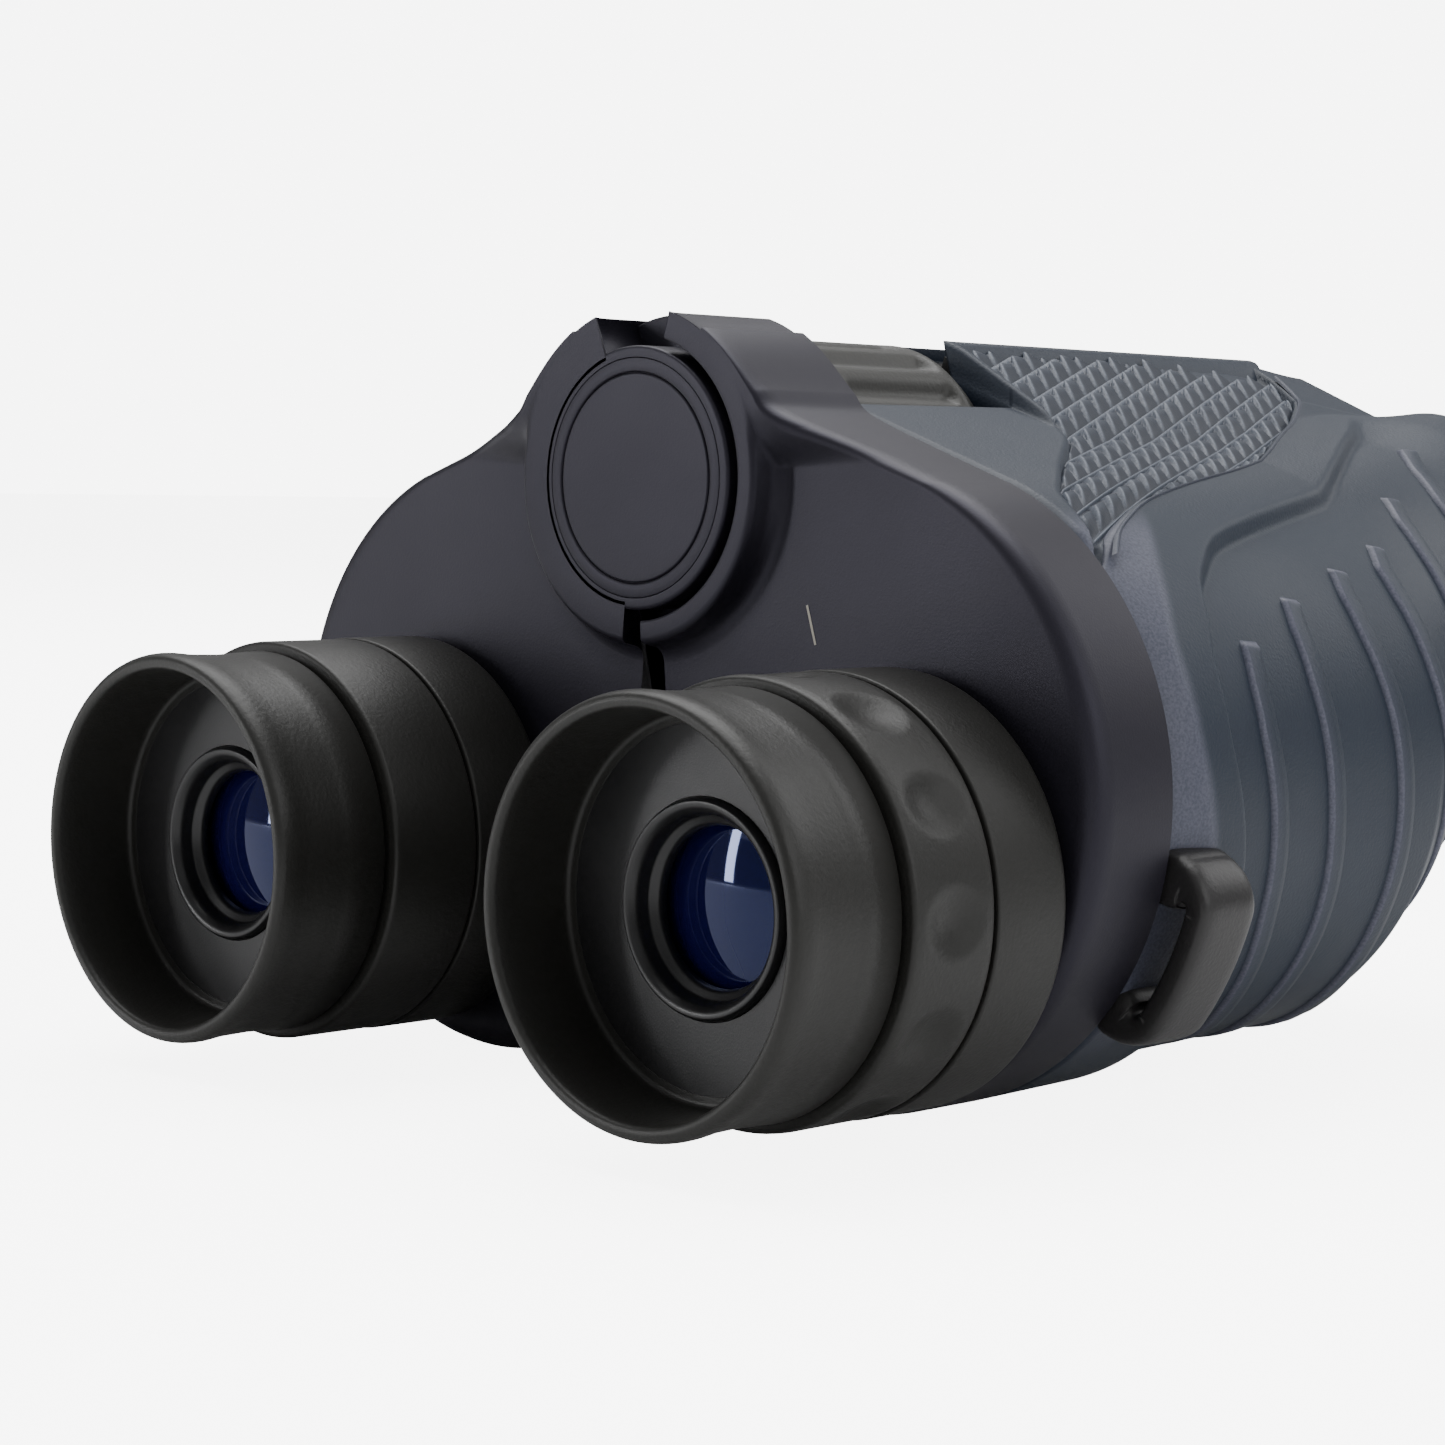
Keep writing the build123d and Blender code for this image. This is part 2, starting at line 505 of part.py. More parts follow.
def focus_sleeve():
    """Screw sleeve on the axle; its spool takes the arms of both objective cells."""
    half = ARM_T / 2 + 0.06
    sleeve = ring(SLEEVE_R, AXLE_R + RUN, WHEEL_Y0 + 2.5, SPOOL_Y + half + SPOOL_W)
    for y in (SPOOL_Y - half - SPOOL_W, SPOOL_Y + half):
        sleeve = sleeve + ring(SPOOL_R, AXLE_R + RUN, y, y + SPOOL_W)
    return sleeve


def hinge_axle():
    """Plain pin from the cap to the nut."""
    return ring(AXLE_R, 0, HUB_Y + CAP_T, AXLE_END)


def hinge_nut():
    """Round nut on the front end of the axle."""
    y, radius = LUG_RIGHT[1] + 0.15, AXLE_R + 2.7
    return lathe([(AXLE_R, y), (radius, y), (radius, y + 2.0), (radius - 0.6, y + 2.6), (AXLE_R, y + 2.6)])


def bridge_cover():
    """Curved strip that closes the gap between the halves above the focus sleeve."""
    y0, y1 = SADDLE_Y + GAP, BRIDGE_END - 0.3
    end = LEFT_TOP + BRIDGE_REACH
    strip = ring(BRIDGE_R, BRIDGE_R - BRIDGE_T, y0, y1) & wedge(y0, y1, RIGHT_TOP - 10, end)
    foot = ring(BRIDGE_R + 0.3, BRIDGE_R - BRIDGE_T, y0, y1) & wedge(y0, y1, LEFT_TOP + BRIDGE_FOOT, end)
    return strip + foot


# ---------------------------------------------------------------- assembly
def half_parts(top, right):
    """All parts of one half, drawn as a right half."""
    lug, axle_bore = (LUG_RIGHT, AXLE_R + RUN) if right else (LUG_LEFT, AXLE_R)
    loop = strap_lug()
    objective = lens(OBJ_LENS_R, OBJ_LENS_Y - OBJ_LENS_T, OBJ_LENS_Y, 0.8, 1.2)
    retainer = ring(OBJ_LENS_R + 0.05, OBJ_LENS_R - 0.9, OBJ_LENS_Y, CELL_Y[1] - GAP)
    p = {
        "rear_cover": rear_cover(top, not right),
        "body_shell": body_shell(top, lug, axle_bore),
        "armour": armour(top, loop),
        "strap_lug": loop,
        "prism_plate": prism_plate(top),
        "prism_screws": prism_screws(),
        "objective_cell": objective_cell(),
        "objective_lens": put(objective, OBJ_X, OBJ_Z),
        "objective_ring": put(retainer, OBJ_X, OBJ_Z),
    }
    places = prism_places()
    p["prism_rear"] = prism(*places[0])
    p["prism_front"] = prism(*places[1])
    p["prism_clips"] = Compound(children=[prism_clip(*place) for place in places])
    eyepiece = {
        "eyecup": eyecup(),
        "lens_bezel": lens_bezel(),
        "ocular_barrel": ocular_barrel(),
        "eye_lens": lens(BARREL_IN - 0.02, CUP_DEPTH + 3.0, CUP_DEPTH + 5.6, 0.9, 0.9),
        "field_lens": lens(BARREL_IN - 0.02, 18.5, 21.5, 0.5, 0.9),
        "dioptre_ring" if right else "eyepiece_ring": eyepiece_ring(right),
        "zoom_ring": zoom_ring(),
        "guide_tube": guide_tube(),
        "cam_tube": cam_tube(),
    }
    for name, (middle, _) in ZOOM_CELLS.items():
        eyepiece["zoom_cell_" + name] = zoom_cell(middle)
        eyepiece["zoom_lens_" + name] = lens(ZOOM_BORE - 0.02, middle - 1.2, middle + 1.2, 0.4, 0.4)
    if right:
        eyepiece["zoom_lever"] = zoom_lever()
    for name, shape in eyepiece.items():
        p[name] = put(shape, EYE_X, EYE_Z)
    return p


def parts():
    """Every named part in the hinge frame."""
    out = {}
    for name, shape in half_parts(RIGHT_TOP, True).items():
        out["right_" + name] = shape
    for name, shape in half_parts(180 - LEFT_TOP, False).items():
        out["left_" + name] = mirror(shape, about=Plane.YZ)
    out["hinge_cap"] = hinge_cap()
    out["hinge_axle"] = hinge_axle()
    out["hinge_washer"] = ring(WASHER_R, AXLE_R + RUN, HUB_BACK, KNUCKLE_Y0)
    out["hinge_nut"] = hinge_nut()
    out["focus_wheel"] = focus_wheel()
    out["focus_sleeve"] = focus_sleeve()
    out["bridge_cover"] = bridge_cover()
    return out


def base_height():
    """Height of the hinge axis over the surface that the housing rests on."""
    return max(big - z for _, z, big in (circle_at(SEAM_Y), circle_at(TAPER_Y)))


os.makedirs("parts", exist_ok=True)
place = Pos(0, -LENGTH / 2, base_height())
for name, shape in parts().items():
    export_step(place * shape, f"parts/{name}.step")
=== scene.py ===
import json
import bmesh
import bpy
import numpy as np
from mathutils import Matrix, Vector


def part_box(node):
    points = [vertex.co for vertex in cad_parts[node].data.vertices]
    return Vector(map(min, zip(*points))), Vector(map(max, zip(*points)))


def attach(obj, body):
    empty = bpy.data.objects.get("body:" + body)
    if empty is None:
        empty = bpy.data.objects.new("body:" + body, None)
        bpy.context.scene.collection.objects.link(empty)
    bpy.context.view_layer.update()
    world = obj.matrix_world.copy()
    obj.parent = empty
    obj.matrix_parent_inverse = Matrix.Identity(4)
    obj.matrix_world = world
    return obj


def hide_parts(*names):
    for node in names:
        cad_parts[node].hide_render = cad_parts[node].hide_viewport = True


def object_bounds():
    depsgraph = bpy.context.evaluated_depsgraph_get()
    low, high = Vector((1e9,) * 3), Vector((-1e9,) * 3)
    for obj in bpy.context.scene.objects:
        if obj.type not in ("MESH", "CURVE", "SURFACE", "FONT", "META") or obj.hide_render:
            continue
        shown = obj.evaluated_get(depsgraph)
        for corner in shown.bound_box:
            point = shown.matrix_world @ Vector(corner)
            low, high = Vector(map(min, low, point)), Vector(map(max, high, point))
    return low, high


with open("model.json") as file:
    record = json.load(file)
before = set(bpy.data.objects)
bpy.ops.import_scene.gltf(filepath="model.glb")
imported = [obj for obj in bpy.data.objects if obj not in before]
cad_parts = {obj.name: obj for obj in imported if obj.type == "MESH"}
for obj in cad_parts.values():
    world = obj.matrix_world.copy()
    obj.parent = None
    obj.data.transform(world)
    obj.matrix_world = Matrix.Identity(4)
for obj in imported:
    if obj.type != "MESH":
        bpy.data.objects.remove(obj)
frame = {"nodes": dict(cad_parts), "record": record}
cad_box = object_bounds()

# ------------------------------------------------------------------ camera, floor and lights
# A long lens looks along the right side from behind the eyepieces.  The floor is pale and
# plain, and the light comes from soft boxes above and at the sides.
CAMERA_PLACE = (0.20154, -0.22756, 0.0513)
LENS_MM, SENSOR_MM = 82.28, 36.0
azimuth, elevation, roll = np.radians((44.291, 4.090, 0.847))
level_share = np.cos(elevation)
back = Vector((np.sin(azimuth) * level_share, -np.cos(azimuth) * level_share, np.sin(elevation)))
right = Vector((np.cos(azimuth), np.sin(azimuth), 0.0))
up = back.cross(right)
across = right * np.cos(roll) + up * np.sin(roll)
upward = up * np.cos(roll) - right * np.sin(roll)
camera_data = bpy.data.cameras.new("camera")
camera_data.lens = LENS_MM
camera_data.sensor_width = SENSOR_MM
camera_data.clip_start = 0.01
camera = bpy.data.objects.new("camera", camera_data)
camera_turn = Matrix((across, upward, back)).transposed().to_4x4()
camera.matrix_world = Matrix.Translation(CAMERA_PLACE) @ camera_turn
bpy.context.scene.collection.objects.link(camera)
bpy.context.scene.camera = camera

AIM = (0.0, 0.0, 0.04)                    # middle of the object


def soft_box(name, place, width, height, power):
    """Area light at place that faces the middle of the object."""
    light = bpy.data.lights.new(name, "AREA")
    light.shape, light.size, light.size_y, light.energy = "RECTANGLE", width, height, power
    lamp = bpy.data.objects.new(name, light)
    lamp.rotation_euler = (Vector(AIM) - Vector(place)).to_track_quat("-Z", "Y").to_euler()
    lamp.location = place
    bpy.context.scene.collection.objects.link(lamp)


soft_box("overhead", (-0.25, 0.15, 1.10), 1.2, 1.2, 24.0)
soft_box("left_strip", (-0.60, -0.74, 0.20), 0.07, 0.38, 2.6)
soft_box("left_side", (-0.60, -0.95, 0.55), 0.5, 0.6, 0.8)
soft_box("right_side", (1.00, 0.10, 0.55), 0.8, 0.8, 5.5)
soft_box("rear_fill", (0.90, -1.30, 0.90), 1.2, 0.9, 1.3)
soft_box("front_fill", (0.35, 1.00, 0.70), 0.8, 0.6, 4.0)

WHITE = (1.0, 1.0, 1.0, 1.0)
SKY_LIGHT, SKY_SEEN = 0.31, 7.0           # strength that lights the object, and that is seen
world = bpy.data.worlds.new("studio")
bpy.context.scene.world = world
world.use_nodes = True
sky = world.node_tree.nodes
sky_links = world.node_tree.links
background = sky["Background"]
background.inputs["Color"].default_value = WHITE
sky_seen, level = sky.new("ShaderNodeLightPath"), sky.new("ShaderNodeMapRange")
level.inputs["To Min"].default_value = SKY_LIGHT
level.inputs["To Max"].default_value = SKY_SEEN
sky_links.new(sky_seen.outputs["Is Camera Ray"], level.inputs["Value"])
sky_links.new(level.outputs["Result"], background.inputs["Strength"])


def grain_group():
    """Soft mottling (Mask) and a fine moulded grain (Normal), both from noise at a position."""
    group = bpy.data.node_groups.new("moulded grain", "ShaderNodeTree")
    sockets = group.interface
    sockets.new_socket("Position", in_out="INPUT", socket_type="NodeSocketVector")
    for name in ("Grain", "Depth", "Mottling"):
        sockets.new_socket(name, in_out="INPUT", socket_type="NodeSocketFloat")
    sockets.new_socket("Mask", in_out="OUTPUT", socket_type="NodeSocketFloat")
    sockets.new_socket("Normal", in_out="OUTPUT", socket_type="NodeSocketVector")
    nodes, links = group.nodes, group.links
    given, made = nodes.new("NodeGroupInput"), nodes.new("NodeGroupOutput")
    fine, broad = nodes.new("ShaderNodeTexNoise"), nodes.new("ShaderNodeTexNoise")
    fine.inputs["Detail"].default_value = 3.0
    broad.inputs["Detail"].default_value = 5.0
    bump = nodes.new("ShaderNodeBump")
    for noise, size in ((fine, "Grain"), (broad, "Mottling")):
        links.new(given.outputs["Position"], noise.inputs["Vector"])
        links.new(given.outputs[size], noise.inputs["Scale"])
    links.new(fine.outputs["Fac"], bump.inputs["Height"])
    links.new(given.outputs["Depth"], bump.inputs["Distance"])
    links.new(bump.outputs["Normal"], made.inputs["Normal"])
    links.new(broad.outputs["Fac"], made.inputs["Mask"])
    return group


GRAIN = grain_group()
SPECKLE = 4200.0                          # scale of the breaks in a painted edge highlight


def finish(name, dark, light, rough, grain=3000.0, depth=0.00003, mottling=60.0, metallic=0.0,
           coat=0.0, painted_sheen=None):
    """Principled finish between two close colours and two roughnesses, with moulded grain.

    Given a sheen colour, the mesh attribute "edge" brings it in as a painted highlight, broken up by the
    grain.
    """
    made = bpy.data.materials.new(name)
    made.use_nodes = True
    nodes, links = made.node_tree.nodes, made.node_tree.links
    shader = nodes["Principled BSDF"]
    shader.inputs["Metallic"].default_value = metallic
    shader.inputs["Coat Weight"].default_value = coat
    shader.inputs["Specular IOR Level"].default_value = 0.5 if metallic else 0.3
    place, grained = nodes.new("ShaderNodeTexCoord"), nodes.new("ShaderNodeGroup")
    grained.node_tree = GRAIN
    for socket, value in (("Grain", grain), ("Depth", depth), ("Mottling", mottling)):
        grained.inputs[socket].default_value = value
    links.new(place.outputs["Object"], grained.inputs["Position"])
    tone = nodes.new("ShaderNodeMix")
    tone.data_type = "RGBA"
    tone.inputs["A"].default_value = (*dark, 1.0)
    tone.inputs["B"].default_value = (*light, 1.0)
    gloss = nodes.new("ShaderNodeMapRange")
    gloss.inputs["From Min"].default_value, gloss.inputs["From Max"].default_value = 0.3, 0.7
    gloss.inputs["To Min"].default_value, gloss.inputs["To Max"].default_value = rough
    links.new(grained.outputs["Mask"], tone.inputs["Factor"])
    links.new(grained.outputs["Mask"], gloss.inputs["Value"])
    links.new(gloss.outputs["Result"], shader.inputs["Roughness"])
    links.new(grained.outputs["Normal"], shader.inputs["Normal"])
    colour = tone.outputs["Result"]
    # painted highlight: the edge attribute mixes a lighter colour in, standing in for the sheen on edges and
    # crests
    if painted_sheen:
        edge, speckle = nodes.new("ShaderNodeAttribute"), nodes.new("ShaderNodeTexNoise")
        broken, amount = nodes.new("ShaderNodeMapRange"), nodes.new("ShaderNodeMath")
        edge.attribute_name = "edge"
        speckle.inputs["Scale"].default_value = SPECKLE
        broken.inputs["From Min"].default_value, broken.inputs["From Max"].default_value = 0.35, 0.65
        broken.inputs["To Min"].default_value = 0.6
        amount.operation = "MULTIPLY"
        links.new(place.outputs["Object"], speckle.inputs["Vector"])
        links.new(speckle.outputs["Fac"], broken.inputs["Value"])
        links.new(edge.outputs["Fac"], amount.inputs[0])
        links.new(broken.outputs["Result"], amount.inputs[1])
        lit = nodes.new("ShaderNodeMix")
        lit.data_type = "RGBA"
        lit.inputs["B"].default_value = (*painted_sheen, 1.0)
        links.new(amount.outputs["Value"], lit.inputs["Factor"])
        links.new(colour, lit.inputs["A"])
        colour = lit.outputs["Result"]
    links.new(colour, shader.inputs["Base Color"])
    return made


FLOOR_HALF, FLOOR_GLOW = 8.0, 6.0
floor_corners = [(x * FLOOR_HALF, y * FLOOR_HALF, 0) for x, y in ((-1, -1), (1, -1), (1, 1), (-1, 1))]
floor_mesh = bpy.data.meshes.new("floor")
floor_mesh.from_pydata(floor_corners, [], [(0, 1, 2, 3)])
pale = finish("pale floor", (0.86, 0.86, 0.86), (0.90, 0.90, 0.90), (0.8, 0.9), depth=0.0)
floor_nodes, floor_links = pale.node_tree.nodes, pale.node_tree.links
floor_shader = floor_nodes["Principled BSDF"]
floor_shader.inputs["Emission Color"].default_value = WHITE
floor_seen, gain = floor_nodes.new("ShaderNodeLightPath"), floor_nodes.new("ShaderNodeMath")
gain.operation = "MULTIPLY"
gain.inputs[1].default_value = FLOOR_GLOW
floor_links.new(floor_seen.outputs["Is Camera Ray"], gain.inputs[0])
floor_links.new(gain.outputs["Value"], floor_shader.inputs["Emission Strength"])
floor_mesh.materials.append(pale)
floor = bpy.data.objects.new("floor", floor_mesh)
bpy.context.scene.collection.objects.link(floor)

# ------------------------------------------------------------------ rubber armour
# A blue-grey rubber skin is moulded over each half.  In front of a raised S-shaped band lies a
# lower field with ribs, and on top, beside the focus wheel and in front of it, a pad of teeth.
# All sizes are in millimetres about the hinge axis; y runs forwards from the eyecup lips.
record = frame["record"]
JOINTS = {joint["name"]: joint for joint in record["behaviour"]["joints"]}
HINGE = np.array(JOINTS["hinge"]["pos_m"]) * 1000
MOUNTS = {mount["name"]: mount for mount in record["mounts"]}
OBJECTIVE = np.array(MOUNTS["right_objective_bore"]["pos_m"])[[0, 2]] * 1000 - HINGE[[0, 2]]
LENGTH = (cad_box[1][1] - cad_box[0][1]) * 1000
LIP_Y = cad_box[0][1] * 1000
PLACE = np.array((HINGE[0], LIP_Y, HINGE[2]))
ORIGIN = (0.0, 0.0)                       # the hinge axis, as x and z
SEAM_Y, TAPER_Y = 40.0, 81.5              # rear edge of the rubber, and where the taper starts
# centre x, centre z and radius of the large circle at the seam, at the taper and at the front
CIRCLES = np.array(((21.2, -25.0, 26.9), (20.5, -24.2, 27.1), (18.5, -9.0, 17.0)))
SHOULDER_R = 10.4                         # circle about the hinge behind the saddle
SADDLE_R, SADDLE_Y, SADDLE_STEP, SADDLE_TUCK = 13.5, 62.5, 0.9, 2.5
WHEEL_ROOM, CHANNEL_R = 13.2, 6.5         # cut out round the focus wheel and its screw
LOWER_FACE = np.radians(-85.4)            # mating faces below and above the hinge
TOPS = {"right": np.radians(74.0), "left": np.radians(70.5)}
RUBBER = 1.5                              # thickness that shows where the skin is folded in
STEEPEST = 1.3                            # radians past a tangent point, short of a right angle
HALVINGS = 36
MM_PER_DEGREE = np.radians(27.0)          # of turn, on the large circle
FIELD_DEPTH, FIELD_STEP, PAD_DEPTH, CHAMFER_DEPTH, SEAM_DROP = 1.3, 1.7, 0.9, 1.1, 0.6
FRONT_Y, FRONT_DROP, RIM_R, RIM_DROP = 104.0, 1.2, 1.4, 0.8
# share of painted sheen on the raised band and its chamfer
BAND_SHEEN = 0.55
HOOD_R, HOOD_Y = 13.9, 114.5

# the lighter colour below is a painted sheen on the band, the rib edges and the pad rim
armour_rubber = finish("blue grey rubber", (0.0080, 0.0135, 0.0250), (0.0115, 0.0185, 0.0320),
                       (0.46, 0.56), grain=3500, depth=0.00004, mottling=45, painted_sheen=(0.12, 0.122, 0.165))


def smooth(value):
    """Cubic step: 0 below 0, 1 above 1, level at both ends."""
    value = np.clip(value, 0.0, 1.0)
    return value * value * (3.0 - 2.0 * value)


def large_circle(y):
    """Centre x, centre z and radius of the large circle: straight to the taper, then a cone."""
    y = np.asarray(y, float)[..., None]
    rear = CIRCLES[0] + (CIRCLES[1] - CIRCLES[0]) * (y - SEAM_Y) / (TAPER_Y - SEAM_Y)
    front = CIRCLES[1] + (CIRCLES[2] - CIRCLES[1]) * (y - TAPER_Y) / (LENGTH - TAPER_Y)
    return np.moveaxis(np.where(y <= TAPER_Y, rear, front), -1, 0)


def hull_reach(psi, x, z, radius, hinge_r, raised):
    """Distance from the large circle's centre to the hull of it and the hinge circle.

    On the circle it is the radius; past a tangent point it is radius / cos of the angle past it;
    past the line's far end it is where the ray meets the hinge circle.
    """
    away, towards = np.hypot(x, z), np.arctan2(z, x)
    spread = np.arccos((hinge_r - radius) / away)
    length = np.sqrt(away ** 2 - (hinge_r - radius) ** 2)
    past = np.maximum(psi - towards - spread, towards - spread - psi)
    past = np.clip(past, 0.0, STEEPEST)
    line = (radius + raised) / np.cos(past)
    along = x * np.cos(psi) + z * np.sin(psi)
    arc = np.sqrt(np.maximum(along ** 2 - away ** 2 + (hinge_r + raised) ** 2, 0.0)) - along
    return np.where((radius + raised) * np.tan(past) > length, arc, line)


def around(axis, radius, angle, y):
    """Points at a radius and an angle about an axis that runs along y."""
    sides = axis[0] + radius * np.cos(angle), axis[1] + radius * np.sin(angle)
    return np.stack(np.broadcast_arrays(sides[0], y, sides[1]), -1)


def skin(psi, y, raised=0.0):
    """Point of the outside at depth y, seen from the large circle's centre at angle psi."""
    psi, y = np.broadcast_arrays(psi, y)
    x, z, radius = large_circle(y)
    low = hull_reach(psi, x, z, radius, SHOULDER_R, raised)
    high = hull_reach(psi, x, z, radius - SADDLE_TUCK, SADDLE_R, raised)
    reach = low + np.maximum(high - low, 0.0) * smooth((y - SADDLE_Y) / SADDLE_STEP)
    return around((x, z), reach, psi, y)


def skin_distance(psi, y):
    """Distance along the skin, inwards from where the upper tangent line leaves the circle."""
    x, z, radius = large_circle(y)
    past = psi - np.arctan2(z, x) - np.arccos((SHOULDER_R - radius) / np.hypot(x, z))
    return radius * np.where(past > 0, np.tan(np.clip(past, 0, STEEPEST)), past)


def skin_angle(distance, y):
    """Angle psi at a distance along the skin: the inverse of skin_distance."""
    x, z, radius = large_circle(y)
    start = np.arctan2(z, x) + np.arccos((SHOULDER_R - radius) / np.hypot(x, z))
    return start + np.where(distance > 0, np.arctan(distance / radius), distance / radius)


def halve(inside, low, high, y):
    """Angle where inside(point) turns from negative to positive, found by halving."""
    low, high = np.full_like(y, low), np.full_like(y, high)
    for _ in range(HALVINGS):
        middle = (low + high) / 2
        beyond = inside(skin(middle, y)) > 0
        low, high = np.where(beyond, low, middle), np.where(beyond, middle, high)
    return (low + high) / 2


def face_angle(y, lean):
    """Angle psi where the skin meets a mating face that passes the hinge axis at an angle."""
    low, high = (-175, -60) if lean < 0 else (60, 135)
    return halve(lambda p: np.cos(lean) * p[..., 2] - np.sin(lean) * p[..., 0],
                 np.radians(low), np.radians(high), y)


def wheel_cut(y, room):
    """Angle psi where the skin meets a cylinder about the hinge axis, the focus wheel's room."""
    return halve(lambda p: room - np.hypot(p[..., 0], p[..., 2]), np.radians(60), np.radians(105), y)


def smooth_curve(points, blur=3.0):
    """Function of an angle in degrees through given (angle, y) points, softened by a bell."""
    angles, depths = np.array(points).T
    fine = np.arange(-180.0, 180.0, 0.5)
    bell = np.exp(-0.5 * (np.arange(-18, 18.5, 0.5) / blur) ** 2)
    values = np.interp(fine, angles, depths)
    padded = np.pad(values, len(bell) // 2, mode="edge")
    soft = np.convolve(padded, bell / bell.sum(), mode="valid")
    return lambda degrees: np.interp(degrees, fine, soft)


crest = smooth_curve([(-60, 44), (-15, 46.5), (10, 43.6), (28, 43.2), (43, 46.4), (60, 52)])
field_edge = smooth_curve([(-130, 54), (-12, 51), (10, 48.4), (24, 48.3), (40, 51.5), (50, 57.5),
                           (55, 66), (63, 82), (72, 92), (84, 103), (100, 112)], 2.0)
pad_rear = smooth_curve([(44, 40.8), (64, 44), (78, 52), (92, 61.5), (100, 63.8), (120, 64.2)], 1.6)
pad_front = smooth_curve([(44, 41), (52, 45), (60, 52.5), (66, 62), (72, 73), (80, 84), (93, 97),
                          (104, 105.5), (118, 110)], 1.6)


def steepness(curve, turn):
    """Length along y of a step that is one millimetre wide across a curve: sqrt(1 + slope ** 2)."""
    slope = (curve(turn + 1) - curve(turn - 1)) / (2 * MM_PER_DEGREE)
    return np.sqrt(1 + slope ** 2)


def painted_band_sheen(psi, y):
    """How much painted sheen the chamfer and the raised band show, as a lighter tone."""
    turn = np.degrees(psi)
    beside = smooth((60 - turn) / 10) * smooth((turn + 60) / 30)
    band = smooth((y - SEAM_Y - 0.3) / 0.8) * (1 - smooth((y - crest(turn)) / 1.6))
    return BAND_SHEEN * beside * band


def relief(psi, y):
    """Height of the moulding against the outline, as a sum of slopes and steps.

    A chamfer rises from the seam to the crest of the band, a step falls to the field, the pad
    is sunk, the front shoulder falls away, and the front edge is a quarter of an ellipse.
    """
    turn = np.degrees(psi)
    beside = smooth((53 - turn) / 8) * smooth((turn + 40) / 20)
    rise = np.clip((y - SEAM_Y - 0.9) / (crest(turn) - SEAM_Y - 0.9), 0, 1) ** 0.85
    seam = -SEAM_DROP * (1 - smooth((y - SEAM_Y) / 1.3))
    height = -CHAMFER_DEPTH * (1 - rise) * beside + seam * (1 - beside)
    fading = (1 - smooth((turn - 78) / 20)) * (1 - smooth((y - FRONT_Y) / 9))
    step = smooth((y - field_edge(turn)) / (FIELD_STEP * steepness(field_edge, turn)) + 0.15)
    height = height - FIELD_DEPTH * step * fading
    in_pad = smooth((y - pad_rear(turn)) / (0.4 * steepness(pad_rear, turn)))
    in_pad = in_pad * smooth((pad_front(turn) - y) / (0.5 * steepness(pad_front, turn)))
    in_pad = in_pad * smooth((turn - 45) / 1.5)
    height = height - FRONT_DROP * smooth((y - FRONT_Y) / 16) * smooth((turn - 82) / 25)
    rim = np.clip((y - LENGTH + RIM_R) / RIM_R, 0, 1)
    return height - PAD_DEPTH * in_pad - RIM_DROP * (1 - np.sqrt(1 - rim ** 2))


def quads(rows, columns, start, closed):
    """Corner numbers of a grid's faces, wound so that rows x columns point outwards."""
    numbers = start + np.arange(rows * columns).reshape(rows, columns)
    if closed:
        numbers = np.column_stack((numbers, numbers[:, :1]))
    corners = (numbers[:-1, :-1], numbers[1:, :-1], numbers[1:, 1:], numbers[:-1, 1:])
    return np.stack(corners, -1).reshape(-1, 4)


def sided(half, grid):
    """A sheet's points or values as they are for the right half, or mirrored for the left.

    The mirrored columns are turned round, so that the faces still point outwards.
    """
    if half == "right":
        return grid
    return grid[:, ::-1] * (-1.0, 1.0, 1.0) if grid.ndim == 3 else grid[:, ::-1]


def piece(name, sheets, surface, body, nodes, loops=(), edge=None):
    """One mesh from grids of points in millimetres; it rides on a body and replaces nodes.

    A sheet is (grid, closed); loops are outlines filled with one face; edge gives each sheet's
    values of the attribute of that name: the share of painted highlight in its colour.
    """
    points, faces, count = [], [], 0
    for grid, closed in sheets:
        rows, columns = grid.shape[:2]
        points.append(grid.reshape(-1, 3))
        faces.extend(quads(rows, columns, count, closed).tolist())
        count += rows * columns
    for loop in loops:
        points.append(loop)
        faces.append(list(range(count, count + len(loop))))
        count += len(loop)
    placed = (np.vstack(points) + PLACE) * 0.001
    mesh = bpy.data.meshes.new(name)
    mesh.from_pydata(placed.tolist(), [], faces)
    if edge is not None:
        values = np.concatenate([np.ravel(v) for v in edge] + [np.zeros(len(loop)) for loop in loops])
        stored = mesh.attributes.new("edge", "FLOAT", "POINT")
        stored.data.foreach_set("value", values.astype(np.float32))
    mesh.materials.append(surface)
    weld = bpy.data.objects.new(name, mesh)
    bpy.context.scene.collection.objects.link(weld)
    shape = bmesh.new()
    shape.from_mesh(mesh)
    bmesh.ops.remove_doubles(shape, verts=shape.verts, dist=1e-6)
    bmesh.ops.dissolve_degenerate(shape, edges=shape.edges, dist=1e-7)
    shape.to_mesh(mesh)
    shape.free()
    mesh.shade_smooth()
    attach(weld, body)
    if nodes:
        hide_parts(*nodes)
    return weld


def folded(grid, inner):
    """The grid with its first and last columns joined to inner's, which lie under the edges."""
    return np.concatenate((inner[:, :1], grid, inner[:, -1:]), axis=1)


